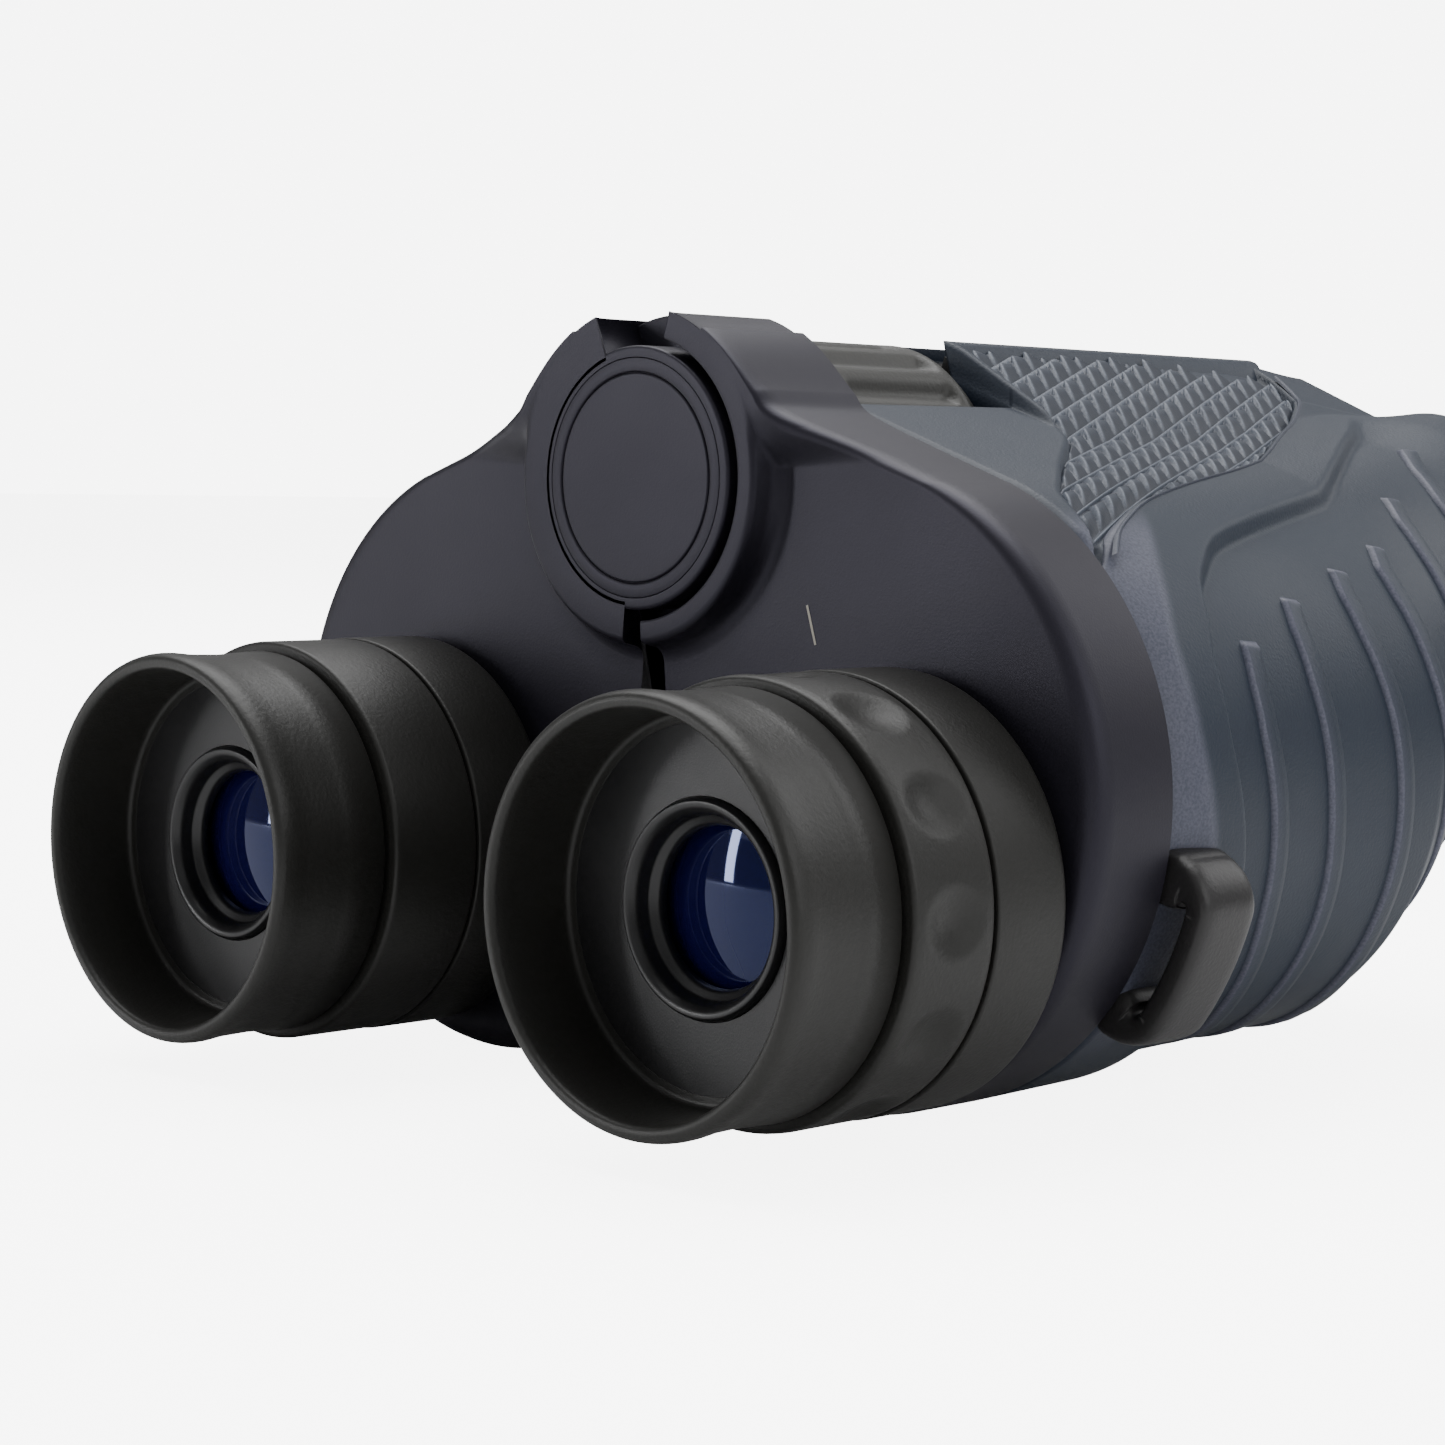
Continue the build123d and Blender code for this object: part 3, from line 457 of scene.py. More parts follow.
def armour_sheets(top):
    """Sheets of one half: skin from seam to rim, edges folded in, saddle wall, front face; with each sheet's
    share of painted sheen.
    """
    y = np.concatenate((np.linspace(SEAM_Y + 0.05, 62.0, 96), np.linspace(62.2, 64.0, 12),
                        np.linspace(64.3, LENGTH - 1.5, 176),
                        LENGTH - RIM_R + RIM_R * np.sin(np.linspace(0.1, 1.57, 8))))
    saddle = np.searchsorted(y, SADDLE_Y)
    borders = (face_angle(y, LOWER_FACE), wheel_cut(np.minimum(y, SADDLE_Y), WHEEL_ROOM),
               face_angle(np.maximum(y, SADDLE_Y + 1.0), top))
    low, middle, high = (skin_distance(angle, y)[:, None] for angle in borders)
    main = low + (middle - low) * np.linspace(0, 1, 306)
    over = middle + (high - middle) * np.linspace(0, 1, 26)
    deep = y[:, None]
    sheets, edges = [], []
    for distance, first in ((main, 0), (over, saddle)):
        psi = skin_angle(distance, deep)
        height = relief(psi, deep)
        grid, inner = skin(psi, deep, height), skin(psi, deep, height - RUBBER)
        if first == 0:
            grid = np.concatenate((folded(inner, inner)[:1], folded(grid, inner)))
            # painted sheen on the band and its chamfer, carried as the edge attribute
            tone = np.pad(painted_band_sheen(psi, deep), ((1, 0), (1, 1)), mode="edge")
        else:
            grid = np.concatenate((grid, inner[:, -1:]), axis=1)
            tone = np.pad(painted_band_sheen(psi, deep), ((0, 0), (0, 1)), mode="edge")
        sheets.append((grid[first:], False))
        edges.append(tone[first:])
    # rear wall of the saddle, from the skin down to the channel of the focus screw
    at_step = np.full(over.shape[1], SADDLE_Y)
    psi = skin_angle(over[saddle], at_step)
    rim = skin(psi, np.full(over.shape[1], y[saddle]), relief(psi, at_step))
    scale = CHANNEL_R / np.hypot(rim[:, 0], rim[:, 2])
    shares = 1 + (scale - 1) * np.linspace(1, 0, 6)[:, None]
    wall = np.stack(np.broadcast_arrays(rim[:, 0] * shares, rim[:, 1], rim[:, 2] * shares), -1)
    sheets.append((wall, False))
    # front face: from the rim and the mating faces to the hood, and on into the bore
    rim_line = np.concatenate((sheets[0][0][-1, 1:-1], sheets[1][0][-1, 1:-1]))
    channel = around(ORIGIN, CHANNEL_R, np.linspace(top, LOWER_FACE, 30), LENGTH)
    loop = np.concatenate((rim_line, channel, rim_line[:1]))
    angle = np.arctan2(loop[:, 2] - OBJECTIVE[1], loop[:, 0] - OBJECTIVE[0])
    hood = ((HOOD_R + 0.25, LENGTH), (HOOD_R + 0.05, LENGTH - 0.1), (HOOD_R, LENGTH - 0.3),
            (HOOD_R, HOOD_Y))
    hood_rows = [around(OBJECTIVE, radius, angle, depth) for radius, depth in hood]
    sheets.append((np.stack([loop] + hood_rows), False))
    flank = np.concatenate((rim_line[-1:], channel, rim_line[:1]))
    sheets.append((np.stack((flank, flank - (0, RUBBER + 0.1, 0))), False))
    return sheets, edges + [np.zeros(grid.shape[:2]) for grid, closed in sheets[2:]]


RIB_STEPS, RIB_BLUR = 240, 23


def rib_path(points):
    """Smooth run of (distance, y) along the skin through given (angle, y) points."""
    steps = np.linspace(0, len(points) - 1, RIB_STEPS)
    bell = np.hanning(RIB_BLUR)
    bell = bell / bell.sum()
    turn, deep = np.array(points).T
    soft = []
    for values in (np.radians(turn), deep):
        run = np.interp(steps, np.arange(len(points)), values)
        run = np.pad(run, RIB_BLUR // 2, mode="reflect", reflect_type="odd")
        soft.append(np.convolve(run, bell, mode="valid"))
    return skin_distance(*soft), soft[1]


RIBS = [
    [(28.5, 54.6), (20, 54.0), (10, 54.2), (-25, 57.3), (-48, 61), (-75, 66)],
    [(37, 63.2), (30, 62.4), (20, 62.4), (-5, 63.9), (-46, 68), (-80, 73)],
    [(43, 72.8), (36, 71.9), (28, 72.0), (10, 73.6), (-30, 76.2), (-48, 78), (-85, 82)],
    [(48.5, 81.6), (42, 80.0), (36, 79.9), (20, 80.8), (-15, 83.6), (-47, 87), (-90, 91)],
    [(57.5, 91.6), (50, 89.8), (41, 89.2), (25, 89.4), (-15, 92.2), (-47, 95), (-90, 99)],
    [(72, 105), (62, 101.6), (50, 99.6), (36, 98.6), (15, 98.6), (-40, 102.6), (-90, 106)],
]
RIB_WIDTH, RIB_HEIGHT, RIB_ROOT, RIB_HIGHLIGHT_PEAK = 2.4, 0.45, 0.5, 0.7
# the section of a rib: place across it, height as a share, and how much painted highlight it has
RIB_ACROSS = (-0.30, -0.05, 0.10, 0.32, 0.45, 1.4, RIB_WIDTH - 0.35, RIB_WIDTH - 0.1, RIB_WIDTH + 0.25)
RIB_LIFT = (-0.5, -0.02, 0.30, 0.52, 0.55, 0.55, 0.50, 0.25, -0.5)
RIB_PAINTED_HIGHLIGHT = (0, 0.2, RIB_HIGHLIGHT_PEAK, RIB_HIGHLIGHT_PEAK, 0.2, 0, 0, 0, 0)


def rib_sheet(points):
    """Section carried along a path: flat top, narrow chamfer behind, one blunt and one long end, with a
    painted highlight along its edge and at the blunt end.
    """
    distance, y = rib_path(points)
    run = np.gradient(np.stack((distance, y)), axis=1)
    run = run / np.hypot(*run)
    side = np.stack((run[1], -run[0]))
    side = side * np.sign(side[1]).mean()
    across = np.array(RIB_ACROSS)[:, None]
    lift = (np.array(RIB_LIFT) / 0.55)[:, None]
    length = np.cumsum(np.hypot(np.gradient(distance), np.gradient(y)))
    ends = smooth(length / 0.9) * smooth((length[-1] - length) / 9)
    deep = y + side[1] * across
    psi = skin_angle(distance + side[0] * across, deep)
    raised = np.where(lift > 0, lift * RIB_HEIGHT * ends, lift * RIB_ROOT)
    grid = skin(psi, deep, relief(psi, deep) + raised - 0.02)
    # painted highlight along the rib's edge and at its blunt end
    tone = np.array(RIB_PAINTED_HIGHLIGHT)[:, None] * ends
    tone = np.maximum(tone, RIB_HIGHLIGHT_PEAK * np.exp(-((length - 0.5) / 0.45) ** 2) * (lift > 0))
    return grid[:, ::-1], tone[:, ::-1]


PAD_ROWS, PAD_COLUMNS = 360, 210
PAD_START, PAD_TOP_Y = np.radians(45.2), 85.0
PAD_GAP, PAD_FADE = 0.15, 0.7             # from the border curves, and where the teeth fade out
TOOTH_RUN = np.array((0.423, 0.906))      # direction of a row of teeth: inwards, forwards
ROW_PITCH, TOOTH_PITCH, TOOTH_SKEW, TOOTH_HEIGHT, RIB_BETWEEN = 2.65, 3.7, 3.33, 0.85, 0.45
PAD_LEAN = np.radians(70.5)               # the shoulder's normal, above the level
PAD_ZERO = (30.0, 0.85)                   # x and z that the rows are counted from
# the lighter colour below is a painted highlight on the teeth's crests and the ribs between rows
grip_rubber = finish("grip pad rubber", (0.0050, 0.0090, 0.0190), (0.0075, 0.0125, 0.0240), (0.44, 0.54),
                     grain=3500, depth=0.00003, mottling=45, painted_sheen=(0.12, 0.137, 0.17))


def tooth(point):
    """Overlapping teeth: steep rear faces, tops that fall away forwards, a thin rib between rows. Also gives
    the share of painted highlight on the crests, the thin ribs and the tops.
    """
    from_zero = point[..., [0, 2]] - PAD_ZERO
    distance = from_zero[..., 1] * np.cos(PAD_LEAN) - from_zero[..., 0] * np.sin(PAD_LEAN)
    y = point[..., 1]
    row = (y * TOOTH_RUN[0] - distance * TOOTH_RUN[1]) / ROW_PITCH
    along = (distance * TOOTH_RUN[0] + y * TOOTH_RUN[1] + TOOTH_SKEW * row) / TOOTH_PITCH
    over, run = row - np.floor(row), along - np.floor(along)
    profile = smooth(over / 0.25) * (1 - smooth((over - 0.35) / 0.62)) ** 0.8
    saw = smooth(run / 0.16) * (1 - 0.72 * np.clip((run - 0.16) / 0.84, 0, 1))
    between = np.exp(-((over - np.round(over)) / 0.07) ** 2)
    # painted highlight: a light line along each tooth's crest, on the rib between rows and over the tops
    crest_highlight = np.exp(-((run - 0.14) / 0.10) ** 2) * smooth(over / 0.2)
    crest_highlight = crest_highlight * (1 - smooth((over - 0.6) / 0.35))
    top_highlight = np.exp(-((over - 0.30) / 0.13) ** 2) * 0.35
    height = np.maximum(TOOTH_HEIGHT * profile * (0.25 + 0.75 * saw), RIB_BETWEEN * between)
    return height, np.clip(crest_highlight + between + top_highlight * saw, 0, 1)


def pad_limit(y, top):
    """Largest angle that the pad reaches: the mating face, or the rim of the focus wheel's room."""
    face = face_angle(y.ravel(), top)
    cut = wheel_cut(np.minimum(y.ravel(), SADDLE_Y), WHEEL_ROOM + 0.5)
    return np.where(y.ravel() < SADDLE_Y + 1.2, cut, face).reshape(y.shape)


def rim_sheet(top):
    """Narrow full-height rim of the skin between the pad and the mating face."""
    y = np.linspace(SADDLE_Y + 1.4, 111.0, 120)
    inwards = np.array((1.1, 0.85, 0.7, 0.1, 0.0, 0.0))[:, None]
    height = np.array((-1.2, -0.12, 0.0, 0.0, -0.1, -1.3))[:, None]
    reach = skin_distance(face_angle(y, top), y) - inwards
    deep = np.broadcast_to(y, reach.shape)
    return np.swapaxes(skin(skin_angle(reach, deep), deep, height), 0, 1)


def pad_end(top):
    """Angle psi of the mating face half way along the pad."""
    return face_angle(np.array([PAD_TOP_Y]), top)[0]


def pad_sheet(top):
    """Pad of teeth between its two border curves, as columns of y at even angles, with the teeth's painted
    highlight.
    """
    psi = np.linspace(PAD_START, pad_end(top) - 0.01, PAD_ROWS)[:, None]
    turn = np.degrees(psi)
    low, high = pad_rear(turn) + PAD_GAP, pad_front(turn) - PAD_GAP
    y = low + (high - low) * np.linspace(0, 1, PAD_COLUMNS)
    limit = pad_limit(y, top)
    angle = np.minimum(psi, limit - 0.01)
    height, lit = tooth(skin(angle, y))
    fade = smooth(np.minimum(y - low, high - y) / PAD_FADE) * smooth((limit - angle) / 0.03)
    grid = skin(angle, y, -PAD_DEPTH - 0.05 + height * fade)
    return np.swapaxes(grid, 0, 1), np.swapaxes(lit * fade, 0, 1)


# the last number is the even share of painted highlight along the bead
BEAD_HALF, BEAD_HEIGHT, BEAD_OFFSET, BEAD_HIGHLIGHT = 0.45, 0.28, 0.75, 0.25


def border_sheet(top):
    """Thin raised bead with a cosine section along the front border of the pad."""
    turn = np.linspace(46.0, np.degrees(pad_end(top)) - 1.0, 240)
    across = np.linspace(-BEAD_HALF, BEAD_HALF, 7)[:, None]
    deep = pad_front(turn) + BEAD_OFFSET + across
    psi = np.minimum(np.radians(turn), pad_limit(deep, top) - 0.012)
    return skin(psi, deep, BEAD_HEIGHT * np.cos(across / BEAD_HALF * np.pi / 2) - 0.06)


for half, top in TOPS.items():
    body = half + "_half"
    sheets, band_sheens = armour_sheets(top)
    piece(half + "_armour_skin", [(sided(half, grid), closed) for grid, closed in sheets],
          armour_rubber, body, [half + "_armour"], edge=[sided(half, tone) for tone in band_sheens])
    ribs = [rib_sheet(points) for points in RIBS]
    piece(half + "_armour_ribs", [(sided(half, grid), False) for grid, tone in ribs],
          armour_rubber, body, [], edge=[sided(half, tone) for grid, tone in ribs])
    pad, tone = pad_sheet(top)
    piece(half + "_grip_pad", [(sided(half, pad), False)], grip_rubber, body, [],
          edge=[sided(half, tone)])
    bead, rim = border_sheet(top), rim_sheet(top)
    # the bead carries an even painted highlight; the rim has none
    piece(half + "_pad_rim", [(sided(half, bead), False), (sided(half, rim), False)], armour_rubber,
          body, [], edge=[np.full(bead.shape[:2], BEAD_HIGHLIGHT), np.zeros(rim.shape[:2])])

# ------------------------------------------------------------------ rear covers
# A moulded black cover closes the back of each half.  Its plate rises into the hinge arm at the
# top; the right arm wraps round the hub of the left cover, and its knuckle turns on the axle.
EYE = np.array(JOINTS["zoom_turn"]["pos_m"])[[0, 2]] * 1000 - HINGE[[0, 2]]
EYES = {"right": EYE, "left": EYE * (-1.0, 1.0)}
PLATE_Y, HUB_Y, WALL_END = 30.5, 27.8, 40.0
HUB_R, ARM_IN, ARM_OUT, ARM_FOOT, CAP_SEAT = 11.2, 12.1, 14.0, 14.6, 10.2
PLATE_HOLE = 12.9                         # round each eyepiece
ARM_BLEND = 3.6                           # width over which the plate's outline runs into the arm
ARM_EDGE, ARM_LIMIT = 14.4, 14.42         # the arm's circle in the blend, and its largest radius
ARM_TURNS = (28, 58)                      # degrees: the arm is whole here, and alone beyond here
CORNER_STEPS, TURNED_STEPS = 6, 5
cover_plastic = finish("moulded black cover", (0.0062, 0.0056, 0.0085), (0.0088, 0.0080, 0.0118),
                       (0.42, 0.50), grain=5200, depth=0.000012, mottling=40)
cover_shader = cover_plastic.node_tree.nodes["Principled BSDF"]
cover_shader.inputs["Specular Tint"].default_value = (0.82, 0.80, 1.0, 1.0)


def carry(corners, radii, steps=CORNER_STEPS):
    """Outline through corners (k, ..., 2); a corner with a radius is a parabola between its sides."""
    points = [corners[0]]
    for before, corner, after, radius in zip(corners, corners[1:], corners[2:], radii):
        if radius == 0:
            points.append(corner)
            continue
        ways = []
        for other in (before, after):
            way = other - corner
            size = np.linalg.norm(way, axis=-1, keepdims=True)
            ways.append(corner + way / np.maximum(size, 1e-6) * np.minimum(radius, size * 0.49))
        for t in np.linspace(0, 1, steps):
            points.append((1 - t) ** 2 * ways[0] + 2 * t * (1 - t) * corner + t ** 2 * ways[1])
    return np.stack(points + [corners[-1]])


def hull_radius(phi):
    """Distance from the hinge axis to the cover's outline: the nearest of its support lines."""
    x, z, radius = CIRCLES[0]
    turn = np.radians(np.arange(-180, 180, 0.1))
    support = np.maximum(SHOULDER_R, x * np.cos(turn) + z * np.sin(turn) + radius)
    facing = np.cos(turn - phi[:, None])
    return np.where(facing > 0.02, support / np.maximum(facing, 0.02), 1e9).min(1)


def cover(half, top):
    """Polar sheet about the hinge axis, from hub or arm over the plate to the side wall.

    Where the plate's outline and the arm's circle meet, their smooth maximum is the outline.
    The sheet's first and last columns come with it, as outlines of the two end faces.
    """
    phi = np.linspace(LOWER_FACE, top, 420)
    outer = hull_radius(phi)
    arm = ARM_EDGE * smooth(np.degrees(phi) / ARM_TURNS[0])
    blended = (outer + arm + np.sqrt((outer - arm) ** 2 + ARM_BLEND ** 2)) / 2 - 0.25
    outer = np.where(phi > 0, blended, outer)
    outer = np.where(np.degrees(phi) > ARM_TURNS[1], np.minimum(outer, ARM_LIMIT), outer)
    plate = HUB_Y + (PLATE_Y - HUB_Y) * smooth((outer - ARM_FOOT) / 12.0)
    inner, sunk = (ARM_IN, 33.0) if half == "right" else (CAP_SEAT, 29.4)
    section = ((inner, sunk), (inner, HUB_Y), (ARM_OUT, HUB_Y), (ARM_FOOT, plate), (outer, plate),
               (outer, WALL_END))
    corners = [[np.broadcast_to(value, phi.shape) for value in corner] for corner in section]
    profile = carry(np.array(corners).transpose(0, 2, 1), (0.35, 0.5, 1.2, 2.3))
    edge = 1 + CORNER_STEPS * 3
    shares = np.linspace(0, 1, 26)[1:-1, None, None]
    over_plate = profile[edge - 1] + (profile[edge] - profile[edge - 1]) * shares
    profile = np.concatenate((profile[:edge], over_plate, profile[edge:]))
    reach, deep = profile[..., 0], profile[..., 1]
    grid = around(ORIGIN, reach, phi, deep)
    from_eye = grid[..., [0, 2]] - EYE
    distance = np.hypot(from_eye[..., 0], from_eye[..., 1])
    near = (np.abs(deep - plate) < 0.01) & (distance < PLATE_HOLE + 0.7)
    on_hole = EYE + from_eye * (PLATE_HOLE / np.maximum(distance, 1e-3))[..., None]
    grid[near] = np.stack((on_hole[..., 0], deep, on_hole[..., 1]), -1)[near]
    return grid, [grid[:, 0], grid[::-1, -1]]


def turned(corners, radii, axis, columns=192):
    """Sheet turned about an axis along y from (radius, y) corners, some of them rounded."""
    profile = carry(np.array(corners, float), radii, TURNED_STEPS)
    angle = np.arange(columns) * 2 * np.pi / columns
    return around(axis, profile[:, :1], angle, profile[:, 1:])


for half, top in TOPS.items():
    grid, ends = cover(half, top)
    if half == "right":
        round_part = turned([(6.0, 32.6), (14.0, 32.6), (14.0, 40.2), (6.0, 40.2)], (0.3, 0.3), ORIGIN)
    else:
        round_part = turned([(CAP_SEAT, 29.4), (CAP_SEAT, HUB_Y), (HUB_R, HUB_Y), (HUB_R, 32.0)],
                            (0.05, 0.35), ORIGIN)
        ends = [loop[::-1] * (-1.0, 1.0, 1.0) for loop in ends]
    made = piece(half + "_cover_moulding", [(sided(half, grid), False), (round_part, True)],
                 cover_plastic, half + "_half", [half + "_rear_cover"], loops=ends)
    # the faces of the plate inside the eyepiece's hole are taken out
    middle = Vector((np.array((EYES[half][0], 0, EYES[half][1])) + PLACE) * 0.001)
    shape = bmesh.new()
    shape.from_mesh(made.data)
    holes = [face for face in shape.faces if len(face.verts) < 5 and abs(face.normal.y) > 0.9
             and (face.calc_center_median() - middle).xz.length < (PLATE_HOLE - 0.05) * 0.001]
    bmesh.ops.delete(shape, geom=holes, context="FACES")
    shape.to_mesh(made.data)
    shape.free()

# ------------------------------------------------------------------ index line
# A short pale line is printed on the right cover's plate, above the zoom ring.
# The ring's position is read against it.
pale_ink = finish("pale ink", (0.30, 0.28, 0.24), (0.38, 0.36, 0.31), (0.5, 0.6), depth=0.000005)
line_ends = np.array(((17.8, -10.2), (18.8, -13.4)))
half_width = np.array((0.11, 0.035))
INK = 0.03                                # how far the ink stands proud of the plate
sides = line_ends + half_width * np.array((-1.0, 1.0))[:, None, None]
line = np.stack((sides[..., 0], np.full((2, 2), PLATE_Y - INK), sides[..., 1]), -1)
piece("right_index_line", [(line[:, ::-1], False)], pale_ink, "right_half", [])

# ------------------------------------------------------------------ hinge cap
# A thin moulded plastic disc is pressed into the hub over the hinge screw.
# A fine groove runs round near its edge.
cap = turned([(0.01, 27.8), (4.0, 27.8), (8.4, 27.8), (8.8, 27.8), (8.92, 28.05), (9.04, 27.8), (9.5, 27.75),
              (10.15, 27.8), (10.15, 29.5)], (0, 0, 0.1, 0.05, 0.1, 0, 0.05), ORIGIN)
piece("hinge_cap_disc", [(cap, True)], cover_plastic, "left_half", ["hinge_cap"])

# ------------------------------------------------------------------ focus wheel
# The wheel is turned from plastic and moulded over with black rubber, with broad grooves
# between rounded ridges.  Each ridge dies away towards both plain ends.
wheel_rubber = finish("wheel rubber", (0.016, 0.016, 0.0145), (0.024, 0.0235, 0.021), (0.42, 0.52),
                      grain=3000, depth=0.00003, mottling=70)
WHEEL_R, WHEEL_REAR, WHEEL_FRONT = 12.45, 41.1, 61.7
GROOVES, GROOVE_DEPTH, GROOVE_START, GROOVE_END, GROOVE_FADE = 18, 0.75, 43.9, 58.9, 1.2
rear = carry(np.array([(6.0, WHEEL_REAR), (11.3, WHEEL_REAR), (WHEEL_R, 43.2), (WHEEL_R, 43.7)]), (0.5, 1.2))
front = (rear * (1, -1) + (0, WHEEL_REAR + WHEEL_FRONT))[::-1]
ridge = np.column_stack((np.full(50, WHEEL_R), np.linspace(GROOVE_START, GROOVE_END, 50)))
radius, deep = np.vstack((rear, ridge, front)).T
angle = np.arange(540) * 2 * np.pi / 540
inside = smooth((deep - GROOVE_START) / GROOVE_FADE) * smooth((GROOVE_END - deep) / GROOVE_FADE)
groove = GROOVE_DEPTH * (0.5 + 0.5 * np.cos(GROOVES * angle)) ** 1.5 * inside[:, None]
wheel = around(ORIGIN, radius[:, None] - groove, angle, deep[:, None])
piece("focus_wheel_grip", [(wheel, True)], wheel_rubber, "focus_wheel", ["focus_wheel"])

# ------------------------------------------------------------------ eyecups
# Soft black rubber cups grip the flange of each ocular barrel.  The lip is rolled slightly
# outwards, and the wall narrows to a flat floor round the lens.
CUP_R = 16.85
CUP_SECTION = ((14.12, 13.4), (14.12, 7.7), (15.05, 7.7), (CUP_R - 1.6, 1.1), (CUP_R - 1.35, 0.0),
               (CUP_R - 0.35, 0.0), (CUP_R, 1.2), (CUP_R - 0.28, 3.2), (CUP_R - 0.38, 7.0),
               (CUP_R - 0.2, 11.1), (15.1, 11.1), (15.1, 13.4), (14.12, 13.4))
CUP_ROUNDING = (0.03, 0.6, 1.0, 0.45, 0.6, 1.0, 1.0, 0.4, 0, 0, 0)
EYE_BODIES = {"right": "right_ocular", "left": "left_half"}
eyecup_rubber = finish("eyecup rubber", (0.0085, 0.0085, 0.0078), (0.0130, 0.0126, 0.0112), (0.40, 0.50),
                       grain=2400, depth=0.000035, mottling=55)
for half, body in EYE_BODIES.items():
    cup = turned(CUP_SECTION, CUP_ROUNDING, EYES[half], 240)
    piece(half + "_eyecup_skin", [(cup, True)], eyecup_rubber, body, [half + "_eyecup"])

# ------------------------------------------------------------------ lens bezels and eye lenses
# A threaded black ring holds each eye lens against the barrel.  The lens is coated glass that
# reflects deep blue, turning violet at its rim.
black_metal = finish("anodised black", (0.010, 0.010, 0.011), (0.016, 0.016, 0.017), (0.30, 0.42),
                     grain=6000, depth=0.00001, mottling=90, metallic=0.35)


def coated(name, middle, rim):
    """Dark mirror-smooth glass whose coating changes colour from the middle to grazing views."""
    made = finish(name, tuple(0.6 * c for c in middle), middle, (0.03, 0.06), depth=0.0, coat=0.25)
    nodes, links = made.node_tree.nodes, made.node_tree.links
    shader = nodes["Principled BSDF"]
    shader.inputs["Coat Roughness"].default_value = 0.02
    shader.inputs["Coat Tint"].default_value = (0.35, 0.50, 1.0, 1.0)
    shader.inputs["Specular Tint"].default_value = (0.25, 0.40, 1.0, 1.0)
    facing, blend = nodes.new("ShaderNodeLayerWeight"), nodes.new("ShaderNodeMix")
    facing.inputs["Blend"].default_value = 0.35
    blend.data_type = "RGBA"
    blend.inputs["B"].default_value = (*rim, 1.0)
    source = shader.inputs["Base Color"].links[0].from_socket
    links.new(facing.outputs["Facing"], blend.inputs["Factor"])
    links.new(source, blend.inputs["A"])
    links.new(blend.outputs["Result"], shader.inputs["Base Color"])
    return made


def lens(rim_r, back_y, rim_y, bulge, axis, side):
    """Glass with a spherical face that bulges towards side (-1 rear, 1 front): rise = arc - sagitta."""
    share = np.linspace(0, 1, 24)
    curve_r = (rim_r ** 2 + bulge ** 2) / (2 * bulge)
    rise = bulge - curve_r + np.sqrt(curve_r ** 2 - (share * rim_r) ** 2)
    outline = [(rim_r * part + 0.002, rim_y + side * height) for part, height in zip(share, rise)]
    outline.append((rim_r, back_y))
    return turned(outline[::-side], (0,) * (len(outline) - 2), axis, 128)


eye_glass = coated("blue coated glass", (0.0015, 0.0035, 0.0300), (0.010, 0.005, 0.045))
BEZEL_SECTION = ((6.2, 9.8), (6.35, 9.1), (7.05, 8.7), (7.25, 7.6), (7.75, 7.02), (8.2, 7.02),
                 (8.5, 7.5), (8.5, 9.8), (6.2, 9.8))
BEZEL_ROUNDING = (0.2, 0.15, 0.25, 0.3, 0.12, 0.2, 0, 0)
EYE_LENS = (7.95, 14.0, 11.05, 1.25)      # rim radius, y of the back, y of the rim, bulge
for half, body in EYE_BODIES.items():
    ring = turned(BEZEL_SECTION, BEZEL_ROUNDING, EYES[half])
    piece(half + "_bezel_ring", [(ring, True)], black_metal, body, [half + "_lens_bezel"])
    dome = lens(*EYE_LENS, EYES[half], -1)
    piece(half + "_eye_lens_glass", [(dome, True)], eye_glass, body, [half + "_eye_lens"])

# ------------------------------------------------------------------ eyepiece rings
# Rubber rings turn on each eyepiece: a plain one on the left, a dioptre ring with twelve
# thumb hollows on the right, and the zoom ring of each side against the cover.
RING_R, RING_BORE, RING_START, RING_END = 17.5, 15.4, 11.7, 20.7
RING_CHAMFER, RING_EDGE_R = 1.0, 16.9     # length of the side's slope, and where the side starts
HOLLOWS, HOLLOW_R, HOLLOW_AXIS, HOLLOW_BLEND = 12, 5.9, 22.7, 0.5
ring_rubber = finish("ring rubber", (0.0085, 0.0085, 0.0078), (0.0130, 0.0126, 0.0112), (0.42, 0.52),
                     grain=2600, depth=0.000035, mottling=60)


def hollowed(y0, y1, axis):
    """Ring whose side is pressed in by balls on a circle about the axis, with rounded rims.

    The side is the smooth minimum of the ring's radius and the distance to the nearest ball.
    """
    low, high = y0 + RING_CHAMFER, y1 - RING_CHAMFER
    section = np.array([(RING_BORE, y1), (RING_BORE, y0), (RING_R - 0.1, y0), (RING_R, low),
                        (RING_R, high), (RING_R - 0.1, y1), (RING_BORE, y1)])
    profile = carry(section, (0.1, 0.45, 0, 0, 0.25))
    cut = np.argmin(np.abs(profile[:, 1] - low) + np.abs(profile[:, 0] - RING_R) * 9) + 1
    side = np.column_stack((np.full(60, RING_R), np.linspace(y0 + 1.05, y1 - 1.05, 60)))
    profile = np.vstack((profile[:cut], side, profile[cut:]))
    angle = np.arange(720) * 2 * np.pi / 720
    near = (angle + np.pi / HOLLOWS) % (2 * np.pi / HOLLOWS) - np.pi / HOLLOWS
    up_and_down = profile[:, 1:] - (y0 + y1) / 2
    inside = HOLLOW_R ** 2 - up_and_down ** 2 - (HOLLOW_AXIS * np.sin(near)) ** 2
    pressed = np.where(inside > 0, HOLLOW_AXIS * np.cos(near) - np.sqrt(np.maximum(inside, 0)), RING_R + 1)
    outside = profile[:, :1]
    blend = np.clip((pressed - outside) / HOLLOW_BLEND * 0.5 + 0.5, 0, 1)
    soft = outside * blend + pressed * (1 - blend) - HOLLOW_BLEND * blend * (1 - blend)
    on_side = (outside > RING_EDGE_R) & (inside > 0)
    reach = np.where(on_side, np.minimum(soft, outside), outside)
    return around(axis, reach, angle, profile[:, 1:])


